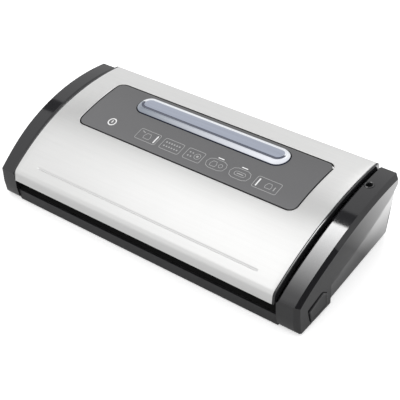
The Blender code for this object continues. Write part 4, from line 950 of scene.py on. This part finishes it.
def disc_ring(x, y, radius, steps=16):
    return [Vector((x + radius * math.cos(2 * math.pi * i / steps),
                    y + radius * math.sin(2 * math.pi * i / steps))) for i in range(steps)]


def box_ring(x, y, width, depth, corner=0.3 * MM):
    return rounded_ring(x - width / 2, x + width / 2, y - depth / 2, y + depth / 2, corner, 2)


def bag_ring(x, y, size):
    """A bag that narrows to its mouth."""
    return [Vector((x + size * u, y + size * v)) for u, v in
            ((-0.5, -0.55), (0.5, -0.55), (0.62, -0.1), (0.34, 0.5), (-0.34, 0.5), (-0.62, -0.1))]


SHAPES = {"bag": bag_ring, "box": box_ring, "disc": disc_ring}

# Middles of the touch areas along the panel, in millimetres
POWER, SEAL, MARINADE, DROPS, JAR, ROLL, CUT_OFF = -104.4, -53.5, -21, 8.5, 37.2, 66.8, 99.5
# Prints in millimetres: shape, touch area, across and along from its middle, and the shape's sizes
OUTLINES = (
    ("box", SEAL, 0, 0, 28, 15, 2), ("box", MARINADE, 0, 0, 26, 15, 2),
    ("box", DROPS, 0, 0, 22, 15, 2), ("box", CUT_OFF, 0, 0, 29, 15, 2),
    ("box", JAR, 0, 0, 25, 13.5, 6.4), ("box", ROLL, 0, 0, 25, 13.5, 6.4),
    ("bag", SEAL, -0.5, 0, 7.5), ("disc", DROPS, 4.4, 0, 3.9), ("bag", JAR, -3.2, 0, 6.8),
    ("disc", JAR, 5.4, 0, 2.6), ("box", ROLL, 0, 0, 14, 5.6, 2.7), ("bag", CUT_OFF, 2.4, 0, 6.6))
SPOTS = (("disc", DROPS, 4.4, 0, 1.4), ("box", ROLL, 0, 0, 8, 1.1), ("box", CUT_OFF, 9.6, -1.2, 1.1, 5))
BARS = (("box", JAR, 0, 8.9, 7.5, 1.1), ("box", ROLL, 0, 8.9, 7.5, 1.1),
        ("box", SEAL, 10.8, -0.2, 1.5, 10.5), ("box", CUT_OFF, -10.4, -0.2, 1.5, 10),
        ("box", POWER, 0, 0.4, 1.3, 3.6))
# Dots: touch area, across and along, radius and facets
DOTS = (*((SEAL, -6.5 - 1.6 * i, 3.2 + 0.6 * i, 0.7, 10) for i in range(3)),
        *((MARINADE, (i - 2.5) * 3.4, row * 2.6, 1.0, 12) for row in (-1, 1) for i in range(6)),
        *((DROPS, 3.6 * i - 6.3, row * 2.4, 0.95, 12) for row in (-1, 1) for i in range(2)))


def print_ring(line, shape, area, across, along, *sizes):
    """Outline of a print whose touch area's middle is on a line over the panel."""
    return SHAPES[shape]((area + across) * MM, line + along * MM, *(size * MM for size in sizes))


class SEALER_OT_touch_icons(bpy.types.Operator):
    """Printed touch areas: fine outlines with bright bars, laid on the panel"""

    bl_idname = "sealer.touch_icons"
    bl_label = "Touch icons"

    def execute(self, context):
        sizes = settings("panel")
        plan = PanelPlan()
        bend = plan.bend
        middle = plan.low.y + ICON_MIDDLE
        fine, bright = bmesh.new(), bmesh.new()
        for row in OUTLINES:
            band(fine, print_ring(middle, *row), sizes.line)
        for row in SPOTS:
            patch(fine, print_ring(middle, *row))
        for row in BARS:
            patch(bright, print_ring(middle, *row))
        for area, across, along, radius, facets in DOTS:
            patch(fine, disc_ring((area + across) * MM, middle + along * MM, radius * MM, facets))
        band(bright, disc_ring(POWER * MM, middle, 5.2 * MM, 28), 1.3 * MM)
        for name, bm in (("fine_print", fine), ("bright_print", bright)):
            raise_print(bm, -sizes.recess - 0.1 * MM, -sizes.recess + sizes.print_rise)
            bend.wrap(bm)
            place_piece(name, bm, "lid", (name,), (), 30)
        return {"FINISHED"}


def raise_print(bm, low, high):
    """Give flat print a thickness from low to high."""
    for vert in bm.verts:
        vert.co.z = low
    moved = bmesh.ops.extrude_face_region(bm, geom=bm.faces[:], use_keep_orig=True)["geom"]
    bmesh.ops.translate(bm, verts=[v for v in moved if isinstance(v, bmesh.types.BMVert)],
                        vec=(0, 0, high - low))
    bmesh.ops.recalc_face_normals(bm, faces=bm.faces)


# ---- caps, buttons, base and inner pieces ----
class SEALER_OT_end_caps(bpy.types.Operator):
    """Glossy end housings with rounded edges and a crisp crease down the side"""

    bl_idname = "sealer.end_caps"
    bl_label = "End caps"

    def execute(self, context):
        sizes = settings("caps")
        for side, sign in SIDES:
            node = side + "_end_cap"
            low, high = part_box(node)
            outer, inner = (high.x, low.x) if sign > 0 else (low.x, high.x)

            def front_corner(edge):
                run = (edge.verts[1].co - edge.verts[0].co).normalized()
                middle = (edge.verts[0].co + edge.verts[1].co) / 2
                near = middle.y < low.y + CORNER_REACH and abs(middle.x - outer) < CORNER_REACH
                return near and abs(run.z) > 0.9

            def inner_top(edge):
                beside = all(abs(vert.co.x - inner) < FIT / 3 for vert in edge.verts)
                on_top = edge.calc_length() > INNER_RUN and edge.verts[0].co.z > INNER_RISE
                return beside and on_top and any(face.normal.z > 0.8 for face in edge.link_faces)

            def bowed(place):
                rise = ramp(place.z, BOW_FOOT, BOW_FULL)
                return Vector((sign * rise * bow(place.y, sizes.bow), 0, 0))

            soften("end_cap_" + side, node, "base", "gloss_black", sizes.cap_round, sizes.segments,
                   first=((front_corner, sizes.corner_round, 5), (inner_top, sizes.inner_chamfer, 1)),
                   shape=bowed)
        return {"FINISHED"}


class SEALER_OT_release_buttons(bpy.types.Operator):
    """Raised release buttons with rounded edges and a shallow thumb inset"""

    bl_idname = "sealer.release_buttons"
    bl_label = "Release buttons"

    def execute(self, context):
        sizes = settings("caps")
        for side, sign in SIDES:
            button = soften("button_" + side, "release_button_" + side, "button_" + side, "gloss_black",
                            sizes.button_round, sizes.segments)
            bm = bmesh.new()
            bm.from_mesh(button.data)
            outer = [face for face in bm.faces if face.normal.x * sign > 0.7]
            pad = max(outer, key=lambda face: face.calc_area())
            for width, depth in THUMB_STEPS:
                bmesh.ops.inset_individual(bm, faces=[pad], thickness=width, depth=depth,
                                           use_even_offset=True)
            bm.to_mesh(button.data)
            bm.free()
        return {"FINISHED"}


class SEALER_OT_hose_port(bpy.types.Operator):
    """Socket for the accessory hose, with a rolled mouth"""

    bl_idname = "sealer.hose_port"
    bl_label = "Hose port"

    def execute(self, context):
        low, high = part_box("accessory_port")
        middle = (low + high) / 2
        radius, bore, lip = (high.x - low.x) / 2, 3.2 * MM, 0.8 * MM
        turns = [(math.cos(angle), math.sin(angle)) for angle in span(0, 1.57, 5)]
        profile = [(bore, low.z), (bore, high.z - lip)]
        profile += [(bore + lip * (1 - c), high.z - lip + lip * s) for c, s in turns]
        profile += [(radius - lip + lip * s, high.z - lip + lip * c) for c, s in turns]
        profile += [(radius, low.z), (bore, low.z)]
        bm = turned(profile, (middle.x + bow(middle.y, settings("caps").bow), middle.y, 0), 56)
        place_piece("hose_port", bm, "base", ("gloss_black",), ("accessory_port",), 40)
        return {"FINISHED"}


class SEALER_OT_base_housing(bpy.types.Operator):
    """Lower housing, deck, feet and the lid's lower panel"""

    bl_idname = "sealer.base_housing"
    bl_label = "Base"

    def execute(self, context):
        sizes = settings("caps")
        soften("tray_shell", "base_tray", "base", "matt_black", sizes.base_round, sizes.segments)
        # The deck's black is painted shade for the slot at the front.
        soften("deck_shell", "base_deck", "base", "deep_black", sizes.base_round, sizes.segments)
        soften("lid_lower_panel", "lid_liner", "lid", "matt_black", sizes.base_round, sizes.segments)
        for foot in FEET:
            low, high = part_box(foot)
            middle = (low + high) / 2
            radius, stud, base, edge = (high.x - low.x) / 2, 2.5 * MM, 2.2 * MM, 1.2 * MM
            profile = [(0, high.z), (stud, high.z), (stud, base), (radius, base), (radius, edge)]
            profile += [(radius - edge + edge * math.cos(a), edge - edge * math.sin(a))
                        for a in span(0, math.pi / 2, 5)[1:]]
            profile += [(across * MM, rise * MM) for across, rise in FOOT_RING] + [(0, 0)]
            bm = turned(profile, (middle.x, middle.y, 0))
            place_piece("rubber_" + foot, bm, "base", ("rubber",), (foot,), 40)
        return {"FINISHED"}


class SEALER_OT_sealing_parts(bpy.types.Operator):
    """Sealing bar, tape, pressure strip, gaskets and drip tray with soft edges"""

    bl_idname = "sealer.sealing_parts"
    bl_label = "Sealing parts"

    def execute(self, context):
        for name, node, body, slot, width in (
                ("seal_bar", "sealing_bar", "base", "white_plastic", 0.5 * MM),
                ("press_strip", "pressure_strip", "lid", "silicone", 0.5 * MM),
                ("gasket_low", "lower_gasket", "base", "foam", 1.1 * MM),
                ("gasket_high", "upper_gasket", "lid", "foam", 1.1 * MM),
                ("drip_pan", "drip_tray", "base", "matt_black", 0.4 * MM),
                ("inlet_shell", "power_inlet", "base", "gloss_black", 0.5 * MM)):
            soften(name, node, body, slot, width)
        return {"FINISHED"}


INNER_FINISHES = {
    "zinc": ("hinge_pin_left", "hinge_pin_right", "latch_left", "latch_right", "latch_pin_left",
             "latch_pin_right", "lid_hook_left", "lid_hook_right", "button_spring_left",
             "button_spring_right", "pump_motor", "pump_rotor", "pump_bracket", "valve_plunger",
             "switch_lever", "thermal_cutoff", "base_screw_1", "base_screw_2", "base_screw_3",
             "base_screw_4"),
    "matt_black": ("lid_frame", "pump_cover", "lid_switch"),
    "gloss_black": ("suction_nozzle",),
    "white_plastic": ("pump_head", "release_valve"),
    "rubber": ("pump_diaphragm",),
    "heater": ("heating_strip",),
    "ptfe": ("seal_tape",),
    "board": ("touch_board", "power_board"),
    "hose": ("vacuum_hose", "accessory_hose"),
    "brass": ("inlet_pin_left", "inlet_pin_right"),
    "lamination": ("transformer",),
}


class SEALER_OT_inner_parts(bpy.types.Operator):
    """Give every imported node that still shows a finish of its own"""

    bl_idname = "sealer.inner_parts"
    bl_label = "Inner parts"

    def execute(self, context):
        given = {node: slot for slot, nodes in INNER_FINISHES.items() for node in nodes}
        for node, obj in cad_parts.items():
            if not obj.hide_render:
                obj.data.materials.clear()
                obj.data.materials.append(material(given[node]))
        return {"FINISHED"}


# ---- stage ----
def soft_box(name, place, target, wide, deep, radiance):
    """A rectangular light of a given brightness, turned towards a place."""
    light = bpy.data.lights.new(name, "AREA")
    light.shape = "RECTANGLE"
    light.size = wide
    light.size_y = deep
    light.energy = radiance * math.pi * wide * deep
    obj = bpy.data.objects.new(name, light)
    obj.location = place
    obj.rotation_euler = (Vector(target) - obj.location).to_track_quat("-Z", "Y").to_euler()
    bpy.context.scene.collection.objects.link(obj)
    return obj


def gloss_lights():
    """A soft box in strips, dimmer towards the front, that only the glossy black pieces mirror."""
    glossy = bpy.data.collections.new(GLOSSY)
    for i in range(STRIPS):
        brightness = STRIP_LIGHT * (1 - i / STRIPS) ** STRIP_FALL
        along = STRIP_REAR - (i + 0.5) * STRIP_DEEP
        strip = soft_box("gloss_light_%d" % i, (STRIP_X, along, STRIP_RISE), (STRIP_X, along, 0),
                         STRIP_WIDE, STRIP_DEEP, brightness)
        strip.light_linking.receiver_collection = glossy


def sheet_of(name, slot, place, target, wide, deep, spin=0.0):
    """A flat floor or card of the stage, with its place in its mesh."""
    bm = bmesh.new()
    bmesh.ops.create_grid(bm, x_segments=2, y_segments=2, size=0.5)
    turn = (Vector(target) - Vector(place)).to_track_quat("Z", "Y").to_matrix()
    flat = Matrix.Rotation(math.radians(spin), 4, "Z") @ Matrix.Diagonal((wide, deep, 1, 1))
    bmesh.ops.transform(bm, matrix=flat, verts=bm.verts)
    bmesh.ops.transform(bm, matrix=Matrix.Translation(place) @ turn.to_4x4(), verts=bm.verts)
    obj = bpy.data.objects.new(name, mesh_of(bm, name))
    obj.data.materials.append(material(slot))
    bpy.context.scene.collection.objects.link(obj)
    return obj


def seen_by(obj, camera=False, diffuse=False, glossy=False, shadow=False):
    obj.visible_camera = camera
    obj.visible_diffuse = diffuse
    obj.visible_glossy = glossy
    obj.visible_shadow = shadow
    obj.visible_transmission = False


class SEALER_OT_stage(bpy.types.Operator):
    """Camera, pale floor and soft light"""

    bl_idname = "sealer.stage"
    bl_label = "Stage"

    def execute(self, context):
        sizes = settings("stage")
        scene = bpy.context.scene
        azimuth, elevation, roll = (math.radians(a) for a in (sizes.azimuth, sizes.elevation, sizes.roll))
        back = Vector((math.sin(azimuth) * math.cos(elevation), -math.cos(azimuth) * math.cos(elevation),
                       math.sin(elevation)))
        right = (-back).cross(Vector((0, 0, 1))).normalized()
        upward = right.cross(-back)
        columns = Matrix((right * math.cos(roll) + upward * math.sin(roll),
                          upward * math.cos(roll) - right * math.sin(roll), back)).transposed()
        camera = bpy.data.objects.new("camera", bpy.data.cameras.new("camera"))
        camera.data.lens = sizes.lens
        camera.data.clip_start = 0.02
        camera.matrix_world = Matrix.Translation(sizes.camera_place) @ columns.to_4x4()
        scene.collection.objects.link(camera)
        scene.camera = camera

        above = (0, 0, 1)
        seen_by(sheet_of("floor", "floor", (0, 0, 0), above, FLOOR_WIDE, FLOOR_WIDE), camera=True)
        # The bounce floor, a greyer copy with a painted glow, is seen in reflections and bounced light but
        # not by the camera.
        seen_by(sheet_of("bounce_floor", "bounce", (0, 0, -0.5 * MM), above, FLOOR_WIDE, FLOOR_WIDE),
                diffuse=True, glossy=True, shadow=True)
        for name, *card in CARDS:
            seen_by(sheet_of(name, "card", *card), glossy=True)

        world = bpy.data.worlds.new("surroundings")
        world.use_nodes = True
        scene.world = world
        sky = world.node_tree.nodes["Background"]
        sky.inputs["Color"].default_value = (1.0, 1.0, 1.0, 1.0)
        sky.inputs["Strength"].default_value = sizes.world
        for light in LIGHTS:
            soft_box(*light)
        gloss_lights()
        scene.view_settings.view_transform = "Standard"
        return {"FINISHED"}


# ---- sidebar, register and run ----
OPERATORS = (SEALER_OT_stage, SEALER_OT_lid_steel, SEALER_OT_lid_trims, SEALER_OT_control_panel,
             SEALER_OT_window, SEALER_OT_touch_icons, SEALER_OT_end_caps, SEALER_OT_release_buttons,
             SEALER_OT_hose_port, SEALER_OT_base_housing, SEALER_OT_sealing_parts,
             SEALER_OT_inner_parts)


class SEALER_PT_sidebar(bpy.types.Panel):
    """Lists the builders in the sidebar."""

    bl_idname = "SEALER_PT_sidebar"
    bl_label = "Vacuum Sealer"
    bl_space_type = "VIEW_3D"
    bl_region_type = "UI"
    bl_category = "Vacuum Sealer"

    def draw(self, context):
        for kind in OPERATORS:
            self.layout.operator(kind.bl_idname)


def register():
    for kind in (*SETTINGS.values(), *OPERATORS, SEALER_PT_sidebar):
        bpy.utils.register_class(kind)
    for group, kind in SETTINGS.items():
        setattr(bpy.types.Scene, "sealer_" + group, PointerProperty(type=kind))


def unregister():
    for group in SETTINGS:
        delattr(bpy.types.Scene, "sealer_" + group)
    for kind in (SEALER_PT_sidebar, *reversed(OPERATORS), *SETTINGS.values()):
        bpy.utils.unregister_class(kind)


def main():
    register()
    for kind in OPERATORS:
        getattr(bpy.ops.sealer, kind.bl_idname.split(".")[1])()


if __name__ == "__main__":
    main()
